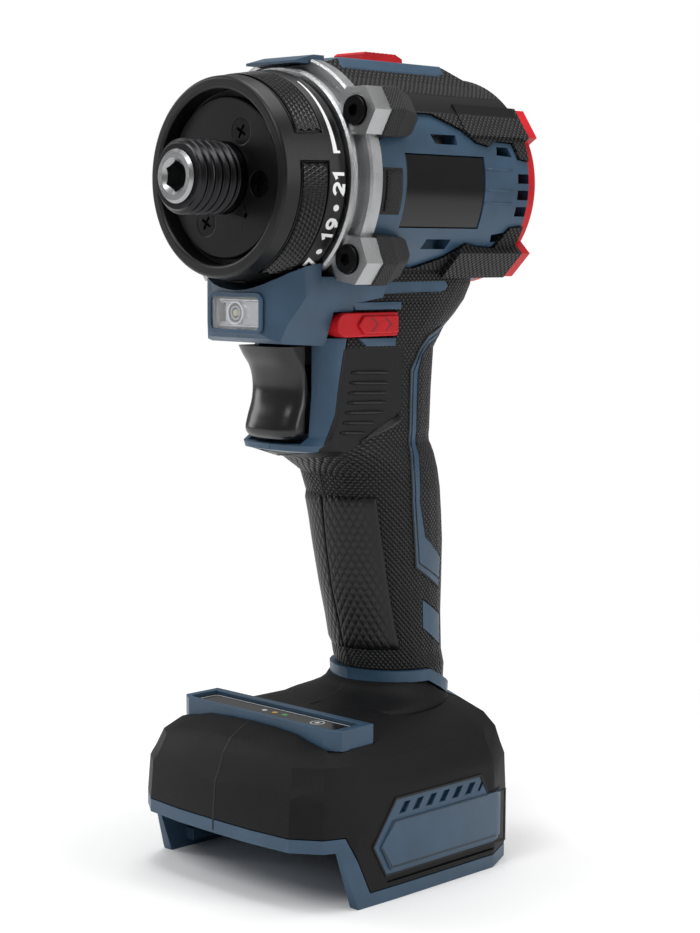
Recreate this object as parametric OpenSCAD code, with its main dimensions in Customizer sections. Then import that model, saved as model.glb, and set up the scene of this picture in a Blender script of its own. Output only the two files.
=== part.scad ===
/* [Layout] */
// Height of the spindle axis above the surface the base stands on
axis_z = 171.2; // [168:0.1:175]
// Where the collar's front rim lies along Y, which puts the origin under the middle of the tool
rim_y = -37.5; // [-40:0.5:-35]
// Gap between the two housing halves along the seam
seam_gap = 0.1; // [0.05:0.05:0.2]

/* [Fits] */
// Radial clearance of parts that turn or slide in each other
run_fit = 0.06; // [0.03:0.01:0.1]
// Clearance between pieces that are seated in each other
seat_fit = 0.05; // [0.02:0.01:0.1]
// Clearance round trim pieces and the soft overmould
trim_fit = 0.3; // [0.2:0.05:0.5]
// Free gap round hand-operated buttons
button_fit = 0.25; // [0.15:0.05:0.4]

/* [Barrel] */
// Outer radius of the hard motor barrel
barrel_r = 25.6; // [25:0.1:26.5]
// Outer radius of the blue side panels on the barrel
panel_r = 26.6; // [26:0.1:27]
// Outer radius of the soft overmould on the barrel
barrel_soft_r = 27.4; // [27:0.1:28.5]
// Radius of the motor chamber
motor_bore_r = 22.6; // [22:0.1:23.5]
// Distance of the barrel's front edge behind the collar rim
barrel_front = 26; // [25:0.5:28]
// Distance of the barrel's rear edge behind the collar rim
barrel_rear = 84; // [82:0.5:86]
// Half width of the ridge along the top of the barrel
ridge_half_w = 13.5; // [12:0.5:15]
// Height of the ridge above the spindle axis
ridge_top = 29.4; // [28.5:0.1:30.5]
// Half width of the flat strip on top of the ridge
strip_half_w = 8.6; // [7.5:0.1:9.5]
// Distance of the top strip's front end behind the collar rim
strip_front = 17.6; // [17:0.1:19]
// Distance of the top strip's rear end behind the collar rim
strip_rear = 76; // [72:1:78]

/* [Gearbox] */
// Radius of the die-cast flange
flange_r = 29.6; // [29:0.1:31]
// Front of the flange behind the collar rim
flange_front = 22; // [21.5:0.1:23]
// Front of the die-cast case's outer rim behind the collar rim
case_front = 18.4; // [18.2:0.1:19]
// Radius of the case's outer rim
case_rim_r = 27; // [26.5:0.1:28]
// Radius of the bore that holds the ring gears
gear_bore_r = 20.3; // [20:0.1:21]
// Wall of the gear tube
gear_wall = 2; // [1.6:0.1:2.2]
// Radius of the sleeve that the torque collar turns on
sleeve_r = 17.8; // [17.4:0.1:18.2]
// Wall of that sleeve
sleeve_wall = 2.3; // [2:0.1:2.6]
// Width across the screw bosses
boss_w = 11; // [10:0.5:12]
// Distance of the boss screws from the spindle axis
boss_r = 30.4; // [30:0.1:31.5]
// Angle of the upper bosses above the horizontal
boss_up = 30.6; // [28:0.2:34]
// Angle of the lower bosses below the horizontal
boss_down = 38.2; // [36:0.2:41]
// Tooth module of the planetary stages
gear_mod = 0.8; // [0.8:0.1:0.8]
// Teeth of the sun gears
sun_teeth = 12; // [12:3:12]
// Teeth of the planet gears
planet_teeth = 15; // [15:3:15]
// Thickness of the planet gears
planet_t = 5.8; // [5:0.1:6]
// Radius of the planet pins
pin_r = 1.5; // [1.2:0.1:1.8]
// Thickness of the planet carriers' plates
carrier_t = 2.2; // [2:0.1:2.4]

/* [Spindle and nose] */
// Radius of the output spindle
spindle_r = 6.25; // [6:0.05:6.3]
// How far the spindle stands out in front of the collar rim
spindle_out = 12.9; // [12:0.1:14]
// Width across the flats of the bit socket
socket_af = 6.45; // [6.4:0.05:6.5]
// Depth of the bit socket
socket_depth = 14; // [12:0.5:16]
// Major radius of the nose thread
thread_r = 8.75; // [8.6:0.05:9]
// Depth of the nose thread
thread_depth = 0.9; // [0.7:0.1:1]
// Pitch of the nose thread
thread_pitch = 2.3; // [2:0.1:2.5]
// Number of turns of the nose thread
thread_turns = 5; // [4:1:5]
// Radius of the plain land behind the thread
land_r = 8.3; // [8.2:0.05:8.5]
// How much shorter the threaded nose is than the spindle
nose_setback = 1; // [0.8:0.1:1.5]

/* [Collar] */
// Outer radius of the torque collar at its front rim
collar_front_r = 23.5; // [23:0.1:24]
// Outer radius of the torque collar at its back
collar_back_r = 25.8; // [25:0.1:26.2]
// Length of the torque collar
collar_len = 17.8; // [17:0.1:18]
// Radius of the collar's open mouth
mouth_r = 20.5; // [20:0.1:21]
// Depth of the collar's mouth
mouth_depth = 4.9; // [4.8:0.1:5.4]
// Radius of the front plate
plate_r = 19; // [18.6:0.1:19.6]
// Front face of the front plate behind the collar rim
plate_front = 2.5; // [2.3:0.1:2.8]
// Thickness of the front plate
plate_t = 2.2; // [2:0.1:2.3]
// Number of knurled pads round the collar
pad_count = 4; // [3:1:6]
// Smooth gap between two pads, in degrees
pad_gap = 15; // [10:1:20]
// Depth of the pads' recesses
pad_depth = 0.8; // [0.5:0.1:1]
// Front edge of the pads behind the collar rim
pad_front = 4.6; // [4:0.1:5]
// Width of the pads along the tool
pad_w = 7.9; // [7:0.1:8.5]

/* [Motor] */
// Length of the stator
stator_len = 24; // [22:1:25]
// Front of the stator behind the collar rim
stator_front = 42; // [41.5:0.5:43]
// Radius of the rotor
rotor_r = 11.8; // [11:0.1:12]
// Radial air gap between the rotor and the stator
air_gap = 0.4; // [0.3:0.1:0.6]
// Radius of the motor shaft
shaft_r = 2.5; // [2.3:0.1:2.6]
// Outer radius of the ball bearings
bearing_r = 8; // [7.5:0.1:8]
// Width of the ball bearings
bearing_w = 5; // [4.5:0.1:5]
// Radius of the fan
fan_r = 20.5; // [19:0.5:21]
// Number of fan blades
fan_blades = 11; // [9:1:13]

/* [Rear cover] */
// Radius of the rear cover
cover_r = 25.2; // [25:0.1:25.4]
// Thickness of the rear cover
cover_t = 4; // [3.6:0.1:4]

/* [Handle] */
// Thickness of the soft overmould on the handle and base
soft_t = 1.6; // [1.2:0.1:2]

/* [Base] */
// Half width of the base
base_half_w = 35.45; // [35:0.05:36]
// Height of the battery bay
bay_h = 14.4; // [13:0.1:15]
// Wall of the base's side rails
rail_wall = 3.2; // [3:0.1:3.6]
// How far the rail lips reach inward
rail_lip = 3; // [2.5:0.1:3.5]

/* [Controls] */
// Half width of the trigger
trigger_half_w = 9; // [8.5:0.1:9]
// Travel of the trigger
trigger_travel = 6; // [4:0.5:6]
// Height of the direction button
dir_h = 5.9; // [5:0.1:6]
// Travel of the direction button
dir_travel = 5; // [4:0.5:5]
// Travel of the speed selector
speed_travel = 5; // [4:0.5:5]

/* [Hidden] */

// Profiles along the tool are measured back from the collar rim
// A station is: height, front, back, half width, fullness of the front, fullness of the back
handle_stations = [
    [36, 47, 72, 14.5, 1.9, 2.4],
    [48, 46.3, 73, 14.5, 1.9, 2.4],
    [51.5, 44.6, 73, 13.6, 1.9, 2.4],
    [61, 42.2, 73, 13.5, 1.9, 2.4],
    [69.5, 39.6, 73.5, 13.5, 1.9, 2.4],
    [80, 37.6, 73, 14.6, 1.9, 2.4],
    [87, 36.6, 72, 15.3, 1.9, 2.4],
    [94, 35.7, 70.8, 16, 2, 2.4],
    [axis_z - 72.2, 34.4, 69.8, 16, 2.2, 2.4],
    [axis_z - 68.2, 28.5, 69, 15.8, 2.6, 2.4],
    [axis_z - 66.2, 22.5, 68.6, 15.6, 3.2, 2.4],
    [axis_z - 65, 17.4, 68.4, 15.4, 3.8, 2.4],
    [axis_z - 63.6, 17.4, 68.2, 15.4, 4.2, 2.4],
    [axis_z - 61.7, 21, 68, 15.5, 4.5, 2.4],
    [axis_z - 51.2, 22, 68.3, 15.6, 4.5, 2.4],
    [axis_z - 41.2, 22, 69, 15.8, 4.5, 2.4],
    [axis_z - 36.2, 22, 72.8, 16, 4.5, 2.4],
    [axis_z - 32.7, 22, 77.6, 16, 4.5, 2.4],
    [axis_z - 29.2, 22, 81.6, 16, 4.5, 2.4],
    [axis_z - 25.2, 22, 84, 16.3, 4.5, 2.4],
    [axis_z - 19.2, 22, 84, 16.5, 4.5, 2.4],
];
// A base station has one more value: how far its plan is the faceted one below, from 0 to 1
base_stations = [
    [0, -1.1, 77.2, base_half_w, 3.5, 5, 1],
    [18, -1.1, 77.5, base_half_w, 3.5, 5, 1],
    [27, -0.4, 77.1, base_half_w - 0.3, 3.5, 5, 1],
    [29.6, 0.8, 76.6, base_half_w - 1.5, 3.4, 4.6, 1],
    [33.8, 2.3, 76, base_half_w - 3.2, 3.2, 4.2, 1],
    [36.9, 4.8, 75.2, base_half_w - 7, 3, 3.8, 0.9],
    [39.2, 9, 74, 22, 2.8, 3.2, 0.6],
    [40.4, 14, 73.4, 17.5, 2.6, 2.8, 0.3],
    [41.2, 38, 73, 15, 2.2, 2.5, 0],
    [44, 46, 72.6, 14.5, 1.9, 2.4, 0],
];
// Corners of the base's faceted plan: angle on the oval, share of the half width, share of the half depth
base_plan = [
    [0, 0, -1], [20, 0.36, -0.995], [40, 0.7, -0.965], [56, 0.89, -0.845], [70, 0.99, -0.64], [84, 1, -0.3],
    [104, 1, 0.2], [124, 1, 0.6], [144, 0.87, 0.85], [162, 0.5, 0.98], [180, 0, 1],
];
// Half width of the strip under the barrel that the handle's overmould fills
tang_half_w = 16.8;
loft_steps = 14;

// Side view of the chin below the gearbox, and its rounded plan
chin_side = [[6.2, -24.2], [6.2, -35.2], [7.4, -37.6], [10, -38.8], [23, -39.6], [40, -39.6], [40, -19.2], [6.2, -19.2]];
chin_top_w = 17.4;
chin_low_w = 11.6;
chin_nose_w = 11;
// Top of the chin where it runs under the flange
chin_roof = axis_z - 23;
// Underside of the strip's tongue over the spindle axis
tongue_floor = 27.2;
collar_gap = 0.5;

// The blue side panel, as distance back and height over the spindle axis
panel_outline = [
    [25.1, 6.1], [38.4, 15.9], [50.5, 16.1], [59.7, 12.4], [63.5, 9.6], [68, 8.8], [71.1, 10.2],
    [77.3, 9.9], [78.5, 6], [84, 5.4], [84, -10.2], [77.5, -10.8], [75.8, -12.5], [74, -15.8],
    [67.8, -15.5], [63.2, -14.8], [57.3, -18.3], [49.3, -20.9], [35.7, -20.4], [25.6, -10.4],
];
label_front = 37.2;
label_rear = 65.6;
label_top = 6.2;
label_low = -11.2;
label_depth = 0.9;

// The stripe and patch on the handle's side, as distance back and height
stripe_outline = [
    [70.6, -34], [58.2, -38], [54.6, -41.2], [51, -46.2], [51, -71.2], [51.8, -79.2], [55.3, -96.7],
    [66.4, -103.3], [66.7, -95], [58.4, -89], [54.9, -79.2], [54.7, -71.2], [54.6, -47.2], [56.3, -42.8],
    [59.3, -40.6], [71, -36.6],
];
patch_outline = [[58.6, 65.8], [67.2, 60.6], [66.4, 53.2], [58.8, 58.5]];

// The ring between handle and base: level in front, then dropping to the rear
ring_h = 2.8;
ring_outline = [
    [40, 45.3], [58.7, 45.3], [69.5, 39.6], [78, 39.6], [78, 42.4], [70.6, 42.4], [59.4, 48.1], [40, 48.1],
];
// The ring stands out from the neck by this much
ring_out = 1.3;

// The guard behind the trigger and the strip below the gearbox, both bare blue plastic
guard_outline = [
    [0, -21.2], [0, -43.2], [13, -43.2], [13, -69.2], [20.2, -66.6], [24.4, -61.6], [26.2, -56.2], [27.4, -47.2],
    [28.4, -40.6], [30.4, -29], [61.5, -29], [64.6, -25.6], [61.5, -22.6], [25, -22.6], [25, -19.2],
];
base_skirt_h = 17.6;
rail_strip_h = 3.2;
bay_front_top = 8.4;
bay_front_low = 13.8;
skirt_outline = [
    [-5, -5], [80, -5], [80, rail_strip_h], [17.2, rail_strip_h], [10.2, base_skirt_h], [-5, base_skirt_h],
];
base_panel_outline = [[18, 14.2], [22.5, 6.4], [66, 6.4], [66, 19.4], [59.5, 19.4], [56.5, 24.6], [25.8, 24.6]];
// The raised plate on that panel, bare, and the slanted vents over it
base_plate_outline = [[20.4, 13.6], [23.8, 7.6], [65.6, 7.6], [65.6, 19.4], [24.8, 19.4]];
base_plate_out = 0.5;
vent_count = 7;
vent_first = 26.8;
vent_pitch = 4.75;
vent_w = 2.3;
vent_slant = 1.9;
vent_low = 20.7;
vent_high = 23.3;
vent_depth = 1.3;
groove_h = 0.6;

// Stations along the gear train, back from the collar rim
case_face = plate_front + plate_t + seat_fit;
// Angle of the first pad's middle above the horizontal, and the groove round each pad
pad_start = 61;
pad_groove = 0.5;
bush_len = 6;
bush_r = 9;
web_front = case_front + 1.8;
ring_len = 7.2;
front_gears = web_front + 1.2;
spindle_plate_back = front_gears - 0.3;
spindle_plate_front = spindle_plate_back - carrier_t;
carrier_front = front_gears + planet_t + 0.3;
rear_gears = carrier_front + carrier_t + 0.3;
plate_rear_front = rear_gears + planet_t + 0.5;
motor_plate_t = 2.4;
case_rear = plate_rear_front + motor_plate_t;
front_bearing_at = plate_rear_front + 0.4;
tube_r = gear_bore_r + gear_wall;
sun_r = gear_mod * sun_teeth / 2;
planet_r = gear_mod * planet_teeth / 2;
orbit_r = sun_r + planet_r;
ring_teeth = sun_teeth + 2 * planet_teeth;
ring_r = gear_mod * ring_teeth / 2;
carrier_r = orbit_r + pin_r + 1.2;
pressure_angle = 25;
addendum = 0.8 * gear_mod;
dedendum = 1.05 * gear_mod;
gear_lash = 0.7;
fan_at = stator_front + stator_len + 2.2;
fan_len = 7;
rear_bearing_at = barrel_rear - bearing_w - 1;
screw_r = 1.5;
sleeve_bore = sleeve_r - sleeve_wall;
spring_wire = 0.5;
plate_screw_r = 12.2;
hub_r = plate_screw_r + screw_r + 0.1;
spring_r = (hub_r + sleeve_bore) / 2;
clutch_ring_t = 1.4;
terminal_half_w = 12.4;
boss_front = 20;
cover_screw_r = 23.6;
switch_front = 30;
boss_len = 9.6;

// Controls
trigger_gap = button_fit;
dir_low = axis_z - 37.6;
dir_front = 24.4;
dir_rear = 45.3;
dir_out = 17.4;
dir_slot = 0.25;
selector_front = 43;
selector_len = 16.5;
selector_half_w = 6.2;
selector_top = 31.8;
selector_floor = ridge_top - 1.2;

// Lens in the chin
lens_half_w = 8.4;
lens_low = axis_z - 35.6;
lens_high = axis_z - 27.8;
lens_t = 1.6;
lens_front = 6.4;

// Label frame on the base
frame_half_w = 28;
frame_front = 12.2;
frame_rear = 25.6;
frame_top = 41.6;
frame_low = 36.4;
frame_sink = 1.4;

// Screws that join the halves: distance back, height, depth of the head's seat from the seam
joint_screws = [
    [17.6, axis_z - 33.8, 12], [60, axis_z - 31.2, 12], [60, axis_z - 53.2, 11.5], [56.5, 84, 10.5], [60, 54, 9.5], [8.6, 26, 16], [71, 26, 16],
];
screw_head_r = 2.9;
screw_head_t = 2.2;

fine = $preview ? 48 : 120;

// ---------- helpers ----------
// A solid of revolution about the spindle axis: points are radius, distance back
module turned(points, steps = fine) {
    translate([0, rim_y, axis_z]) rotate([-90, 0, 0]) rotate_extrude($fn = steps) polygon(points);
}

// A round bar or bore along the spindle axis
module bar(r, from, to, steps = fine) {
    translate([0, rim_y + from, axis_z]) rotate([-90, 0, 0]) cylinder(r = r, h = to - from, $fn = steps);
}

// An outline seen from the front (X, height over the axis), pulled back along the tool
module pulled(points, from, to) {
    translate([0, rim_y + to, axis_z]) rotate([90, 0, 0]) linear_extrude(height = to - from) polygon(points);
}

// An outline seen from the side (distance back, height), pushed out sideways
module pushed(points, from, to, grow = 0) {
    translate([from, rim_y, 0]) rotate([90, 0, 90]) linear_extrude(height = to - from) {
        if (grow > 0) offset(delta = grow) polygon(points);
        else polygon(points);
    }
}

// Heights counted from the spindle axis, turned into heights above the base
function from_axis(points) = [for (p = points) [p[0], p[1] + axis_z]];

module mirrored(side) {
    if (side < 0) mirror([1, 0, 0]) children();
    else children();
}

module half_space() {
    translate([seam_gap / 2, -100, -10]) cube([60, 200, 240]);
}

// Half of an oval section; s is one station, grown by the given amount
function oval(a, s, grow) =
    let (c = cos(a), t = sin(a), n = c > 0 ? s[4] : s[5], w = s[3] + grow, d = (s[2] - s[1]) / 2 + grow)
    [w * pow(abs(t), 2 / n), rim_y + (s[1] + s[2]) / 2 - d * pow(abs(c), 2 / n) * sign(c), s[0]];

// A corner of the base's section, between the oval and the faceted plan
function base_corner(q, s, grow) =
    let (o = oval(q[0], s, grow), k = s[6], x = q[1] * (s[3] + grow),
        y = rim_y + (s[1] + s[2]) / 2 + q[2] * ((s[2] - s[1]) / 2 + grow))
    [o[0] * (1 - k) + x * k, o[1] * (1 - k) + y * k, s[0]];

module base_loft(grow = 0) {
    skin([for (s = base_stations) [for (q = base_plan) base_corner(q, s, grow)]]);
}

// Half of a body whose oval sections change with height, cut flat at X = 0
module half_loft(stations, grow = 0) {
    skin([for (s = stations) [for (i = [0 : loft_steps]) oval(180 * i / loft_steps, s, grow)]]);
}

// Closes a stack of half sections into one solid
module skin(sections) {
    n = len(sections[0]);
    loft_last = n - 1;
    rings = len(sections);
    points = [for (s = sections) each s];
    sides = [for (k = [0 : rings - 2]) for (i = [0 : loft_last - 1]) each [
        [k * n + i, (k + 1) * n + i + 1, k * n + i + 1],
        [k * n + i, (k + 1) * n + i, (k + 1) * n + i + 1],
    ]];
    seam = [for (k = [0 : rings - 2]) [k * n, k * n + loft_last, (k + 1) * n + loft_last, (k + 1) * n]];
    bottom = [for (i = [0 : loft_last]) i];
    top = [for (i = [0 : loft_last]) (rings - 1) * n + loft_last - i];
    polyhedron(points, concat(sides, seam, [bottom, top]));
}

// ---------- outer forms, left side only ----------
module barrel_form(r, from, to) {
    intersection() {
        turned([[0, from], [r, from], [r, to - 1.5], [r - 1.5, to], [0, to]]);
        half_space();
    }
}

// The ridge that carries the top strip; low at its ends
module ridge_form(top, half_w, from, to) {
    intersection() {
        pulled([[0, 10], [half_w + 6, 10], [half_w, top - 6.5], [strip_half_w, top], [0, top]], from, to);
        pushed([[from, axis_z], [from, axis_z + top - 1.6], [from + 6, axis_z + top], [strip_rear - 8, axis_z + top],
            [to, axis_z + top - 7.5], [to, axis_z]], 0, 40);
        half_space();
    }
}

module chin_form(grow = 0) {
    intersection() {
        pushed(from_axis(chin_side), seam_gap / 2, 40);
        pulled([[0, -41.2], [chin_low_w, -41.2], [chin_top_w, -25.2], [chin_top_w, -16.2], [0, -16.2]], 0, 45);
        translate([0, rim_y, axis_z - 51.2]) linear_extrude(height = 40)
            polygon([[0, 6.2], [chin_nose_w * 0.7, 6.6], [chin_nose_w, 7.6], [14.2, 10], [16.4, 13.6], [17.4, 18],
                [17.4, 45], [0, 45]]);
    }
}

// What the battery needs: open in front and below
module bay_cut() {
    pushed([[-10, bay_h], [bay_front_top, bay_h], [bay_front_low, -1], [-10, -1]], -5, 50);
    translate([-5, rim_y - 5, -1]) cube([base_half_w - rail_wall + 5, 70.5, bay_h + 1]);
}

module rail_lips() {
    translate([base_half_w - rail_wall - rail_lip, rim_y + 18.4, 2.2]) cube([rail_lip + 0.3, 44.6, 3]);
}

// ---------- housing ----------
module motor_space() {
    bar(tube_r + 0.1, barrel_front - 1, case_rear + 0.2);
    bar(motor_bore_r, case_rear, barrel_rear + 1);
}

module switch_space() {
    translate([-1, rim_y + 23, axis_z - 61.7]) cube([11.6, 24.5, 22.5]);
    translate([-1, rim_y + 10, axis_z - 63.3]) cube([trigger_half_w + trigger_gap + 1, 18, 24.3]);
    translate([-1, rim_y + dir_front - dir_slot, dir_low - dir_slot])
        cube([30, dir_rear - dir_front + 2 * dir_slot, dir_h + 2 * dir_slot]);
}

module board_space() {
    translate([-1, rim_y + 22, 20]) cube([24, 42, 13]);
    translate([-1, rim_y + 30, bay_h - 0.5]) cube([terminal_half_w + seat_fit + 1, 28, 6.5]);
}

module lamp_space() {
    translate([-1, rim_y - 1, lens_low - seat_fit]) cube([lens_half_w + seat_fit + 1, 11.2, lens_high - lens_low + 2 * seat_fit]);
}

module joint_screw_holes(side) {
    for (s = joint_screws) {
        if (side < 0) {
            translate([0, rim_y + s[0], s[1]]) rotate([0, 90, 0]) cylinder(r = screw_r + seat_fit, h = s[2] + 1, $fn = 24);
            translate([s[2], rim_y + s[0], s[1]]) rotate([0, 90, 0]) cylinder(r = screw_head_r + trim_fit, h = 30, $fn = 24);
        } else {
            translate([0, rim_y + s[0], s[1]]) rotate([0, 90, 0]) cylinder(r = screw_r, h = 8, $fn = 24);
        }
    }
}

module panel_slots() {
    translate([0, rim_y, axis_z]) {
        for (z = [1.3, -2.8, -6.9]) translate([18, 78.2, z - 1.2]) cube([12, 5.2, 2.4]);
    }
    for (p = [[[47.8, 11.3], [57, 11.3], [56.7, 8.9], [48.7, 8.9]], [[48.6, -14], [57.4, -14], [57, -16.4], [48, -16.4]],
            [[71.4, 9], [75.6, 9], [76.6, 6.6], [70.8, 6.9]], [[71.8, -12.8], [77.6, -12], [76.6, -14.4], [72.6, -14.6]]])
        pushed(from_axis(p), 18, 30);
}

module label_window(fit) {
    pushed([for (q = [[label_front, label_top], [label_rear, label_top], [label_rear, label_low], [label_front, label_low]])
        [q[0] + (q[0] < 50 ? -fit : fit), q[1] + axis_z + (q[1] > 0 ? fit : -fit)]], 18, 30);
}

module side_panel(fit = 0) {
    intersection() {
        barrel_form(panel_r + fit, barrel_front - 0.8 - fit, barrel_rear);
        pushed(from_axis(panel_outline), 10, 40);
    }
}

// The bare raised plate on the base's side panel
module base_plate() {
    intersection() {
        base_loft(base_plate_out);
        pushed(base_plate_outline, base_half_w - 3, 60);
    }
}

module base_vents() {
    for (k = [0 : vent_count - 1]) let (y = vent_first + k * vent_pitch, w = k < vent_count - 1 ? vent_w : vent_w / 2)
        pushed([[y, vent_low], [y + w, vent_low], [y + w + vent_slant, vent_high], [y + vent_slant, vent_high]],
            base_half_w - vent_depth, base_half_w + 2);
}

module neck_ring() {
    intersection() {
        half_loft([for (s = [handle_stations[0], handle_stations[1], handle_stations[2]]) s], ring_out);
        pushed(ring_outline, seam_gap / 2, 40);
    }
}

module hard_core() {
    intersection() {
        union() {
            half_loft(handle_stations, -soft_t);
            base_loft(-soft_t);
        }
        half_space();
    }
    barrel_form(barrel_r, barrel_front, barrel_rear);
    ridge_form(ridge_top - soft_t, ridge_half_w - soft_t, barrel_front, barrel_rear - 3);
}

// The places where the hard housing comes up to the outer surface
module bare_zones(grow = 0) {
    pushed(from_axis(guard_outline), -1, 60, grow);
    pushed(from_axis(stripe_outline), 5, 60, grow);
    pushed(patch_outline, 5, 60, grow);
    pushed(ring_outline, -1, 60, grow);
    pushed(skirt_outline, -1, 60, grow);
    pushed(base_panel_outline, 30, 60, grow);
}

// The flat strip on the ridge, with a tongue that reaches forward over the flange
module top_strip() {
    intersection() {
        ridge_form(ridge_top, ridge_half_w, barrel_front, barrel_rear);
        translate([0, rim_y, axis_z + 15]) cube([strip_half_w, strip_rear, 30]);
    }
    intersection() {
        ridge_form(ridge_top, ridge_half_w, strip_front, barrel_rear);
        translate([0, rim_y + strip_front, axis_z + tongue_floor]) cube([strip_half_w, barrel_front - strip_front + 1, 30]);
    }
}

module housing_half(side) {
    color("#3f5a76") mirrored(side) difference() {
        union() {
            hard_core();
            chin_form();
            side_panel();
            neck_ring();
            intersection() {
                union() {
                    half_loft(handle_stations);
                    base_loft();
                }
                bare_zones();
                half_space();
            }
            top_strip();
            base_plate();
        }
        bay_cut();
        base_vents();
        motor_space();
        switch_space();
        board_space();
        lamp_space();
        joint_screw_holes(side);
        panel_slots();
        label_window(trim_fit / 2);
        selector_slot();
        frame_pocket();
        bar(collar_back_r + collar_gap, -20, collar_len + 0.4);
        case_space();
    }
    color("#3f5a76") mirrored(side) intersection() {
        rail_lips();
        half_space();
    }
}

// Room for the die-cast flange between the chin and the top strip
module case_space() {
    intersection() {
        bar(flange_r + trim_fit, collar_len, barrel_front);
        translate([-40, rim_y, chin_roof]) cube([80, 60, tongue_floor + axis_z - chin_roof]);
    }
}

module selector_slot() {
    translate([-1, rim_y + selector_front - speed_travel - button_fit, axis_z + selector_floor])
        cube([selector_half_w + button_fit + 1, selector_len + speed_travel + 2 * button_fit, 8]);
}

module housing_left() { housing_half(1); }
module housing_right() { housing_half(-1); }
housing_left();
housing_right();

// ---------- soft overmould ----------
module handle_grip(side) {
    color("#1b1c1e") mirrored(side) difference() {
        intersection() {
            difference() {
                half_loft(handle_stations);
                half_loft(handle_stations, seat_fit - soft_t);
                base_loft(seat_fit);
            }
            translate([seam_gap / 2, rim_y, 42]) cube([40, 100, axis_z - 21.1 - 42]);
        }
        bare_zones(trim_fit);
        bar(barrel_r + seat_fit, barrel_front, barrel_rear + 10);
        chin_form();
        switch_space();
        joint_screw_holes(side);
    }
}

module base_grip(side) {
    color("#1c1d1f") mirrored(side) difference() {
        intersection() {
            difference() {
                base_loft();
                base_loft(seat_fit - soft_t);
                half_loft(handle_stations, ring_out + seat_fit);
            }
            half_space();
        }
        bare_zones(trim_fit);
        pushed([[23, 5.2], [66, 5.2], [66, 5.2 - groove_h], [23, 5.2 - groove_h]], base_half_w - groove_h, base_half_w + 1);
        bay_cut();
        frame_pocket();
        joint_screw_holes(side);
    }
}

module barrel_grip(side) {
    color("#1b1c1e") mirrored(side) difference() {
        union() {
            barrel_form(barrel_soft_r, barrel_front + 0.3, barrel_rear - 0.4);
            ridge_form(ridge_top, ridge_half_w, barrel_front + 0.3, barrel_rear - 0.4);
            rear_claws();
        }
        bar(barrel_r + seat_fit, 0, barrel_rear + 1);
        ridge_form(ridge_top - soft_t + seat_fit, ridge_half_w - soft_t + seat_fit, barrel_front - 1, barrel_rear - 2.8);
        translate([-1, rim_y, axis_z + 15]) cube([strip_half_w + trim_fit + 1, strip_rear + trim_fit, 30]);
        pushed(from_axis(panel_outline), 10, 40, trim_fit);
        translate([-1, rim_y, axis_z - 71.2]) cube([tang_half_w + 1, 100, 61.2]);
        chin_form();
        at_bosses(0) rotate(30) cylinder(r = (boss_w / 2 + trim_fit) / cos(30), h = boss_front + boss_len + trim_fit, $fn = 6);
    }
}

// Soft claws beside the rear panel that run into the rear cover's lobes
module rear_claws() {
    for (a = [[34, 27.6, 4.6], [-45, 29, 4.4]]) intersection() {
        translate([0, rim_y, axis_z]) rotate([0, -a[0], 0]) translate([20, 60, -a[2]])
            cube([a[1] - 20, barrel_rear - 60.2, 2 * a[2]]);
        pushed([[60, axis_z - 40], [68, axis_z - 40], [84, axis_z - 40], [84, axis_z + 40], [68, axis_z + 40], [60, axis_z + 40]],
            0, 40);
    }
}

module barrel_grip_left() { barrel_grip(1); }
module barrel_grip_right() { barrel_grip(-1); }
module handle_grip_left() { handle_grip(1); }
module handle_grip_right() { handle_grip(-1); }
module base_grip_left() { base_grip(1); }
module base_grip_right() { base_grip(-1); }
barrel_grip_left();
barrel_grip_right();
handle_grip_left();
handle_grip_right();
base_grip_left();
base_grip_right();

// ---------- side plates (bare, glossy) ----------
module side_plate(side) {
    color("#0c0c0d") mirrored(side) intersection() {
        difference() {
            bar(panel_r - 0.2, label_front, label_rear);
            bar(panel_r - label_depth, label_front - 1, label_rear + 1);
        }
        label_window(-seat_fit);
    }
}
module side_plate_left() { side_plate(1); }
module side_plate_right() { side_plate(-1); }
side_plate_left();
side_plate_right();

// ---------- gearbox ----------
function boss_angles() = [boss_up, 180 - boss_up, -boss_down, 180 + boss_down];

module at_bosses(from) {
    for (a = boss_angles()) translate([0, rim_y + from, axis_z]) rotate([0, -a, 0]) translate([boss_r, 0, 0])
        rotate([-90, 0, 0]) children();
}

module gearbox_case() {
    color("#a9acae") difference() {
        union() {
            turned([
                [bush_r, case_face], [sleeve_r, case_face], [sleeve_r, case_front + 0.2], [case_rim_r - 0.6, case_front],
                [case_rim_r, case_front + 0.5], [case_rim_r, case_front + 1.6], [case_rim_r - 1.2, case_front + 2],
                [case_rim_r - 1.2, flange_front - 0.3], [flange_r - 0.5, flange_front], [flange_r, flange_front + 0.5],
                [flange_r, barrel_front - 0.4], [flange_r - 0.4, barrel_front - 0.05], [tube_r, barrel_front - 0.05],
                [tube_r, case_rear - motor_plate_t], [gear_bore_r, case_rear - motor_plate_t], [gear_bore_r, web_front],
                [sleeve_bore, web_front], [sleeve_bore, case_face + 2], [hub_r, case_face + 2],
                [hub_r, case_face + bush_len + 0.4], [bush_r, case_face + bush_len + 0.4],
            ]);
            difference() {
                at_bosses(boss_front) rotate(30) cylinder(r = boss_w / 2 / cos(30), h = boss_len, $fn = 6);
                bar(barrel_soft_r + 0.2, barrel_front - 0.05, barrel_front + boss_len);
            }
        }
        at_bosses(boss_front - 1) cylinder(r = screw_r + 0.7, h = 12, $fn = 32);
        at_bosses(boss_front - 1) cylinder(r = 3.6, h = 2.2, $fn = 32);
        for (a = plate_screw_angles) at_plate_screw(a) cylinder(r = screw_r, h = 6, $fn = 32);
        housing_room();
    }
}

// A round bar or bore beside the spindle axis, at an angle above the horizontal
module bar_at(r, a, hole_r, from, to) {
    translate([0, rim_y + from, axis_z]) rotate([0, -a, 0]) translate([r, 0, 0]) rotate([-90, 0, 0])
        cylinder(r = hole_r, h = to - from, $fn = 16);
}

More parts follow.
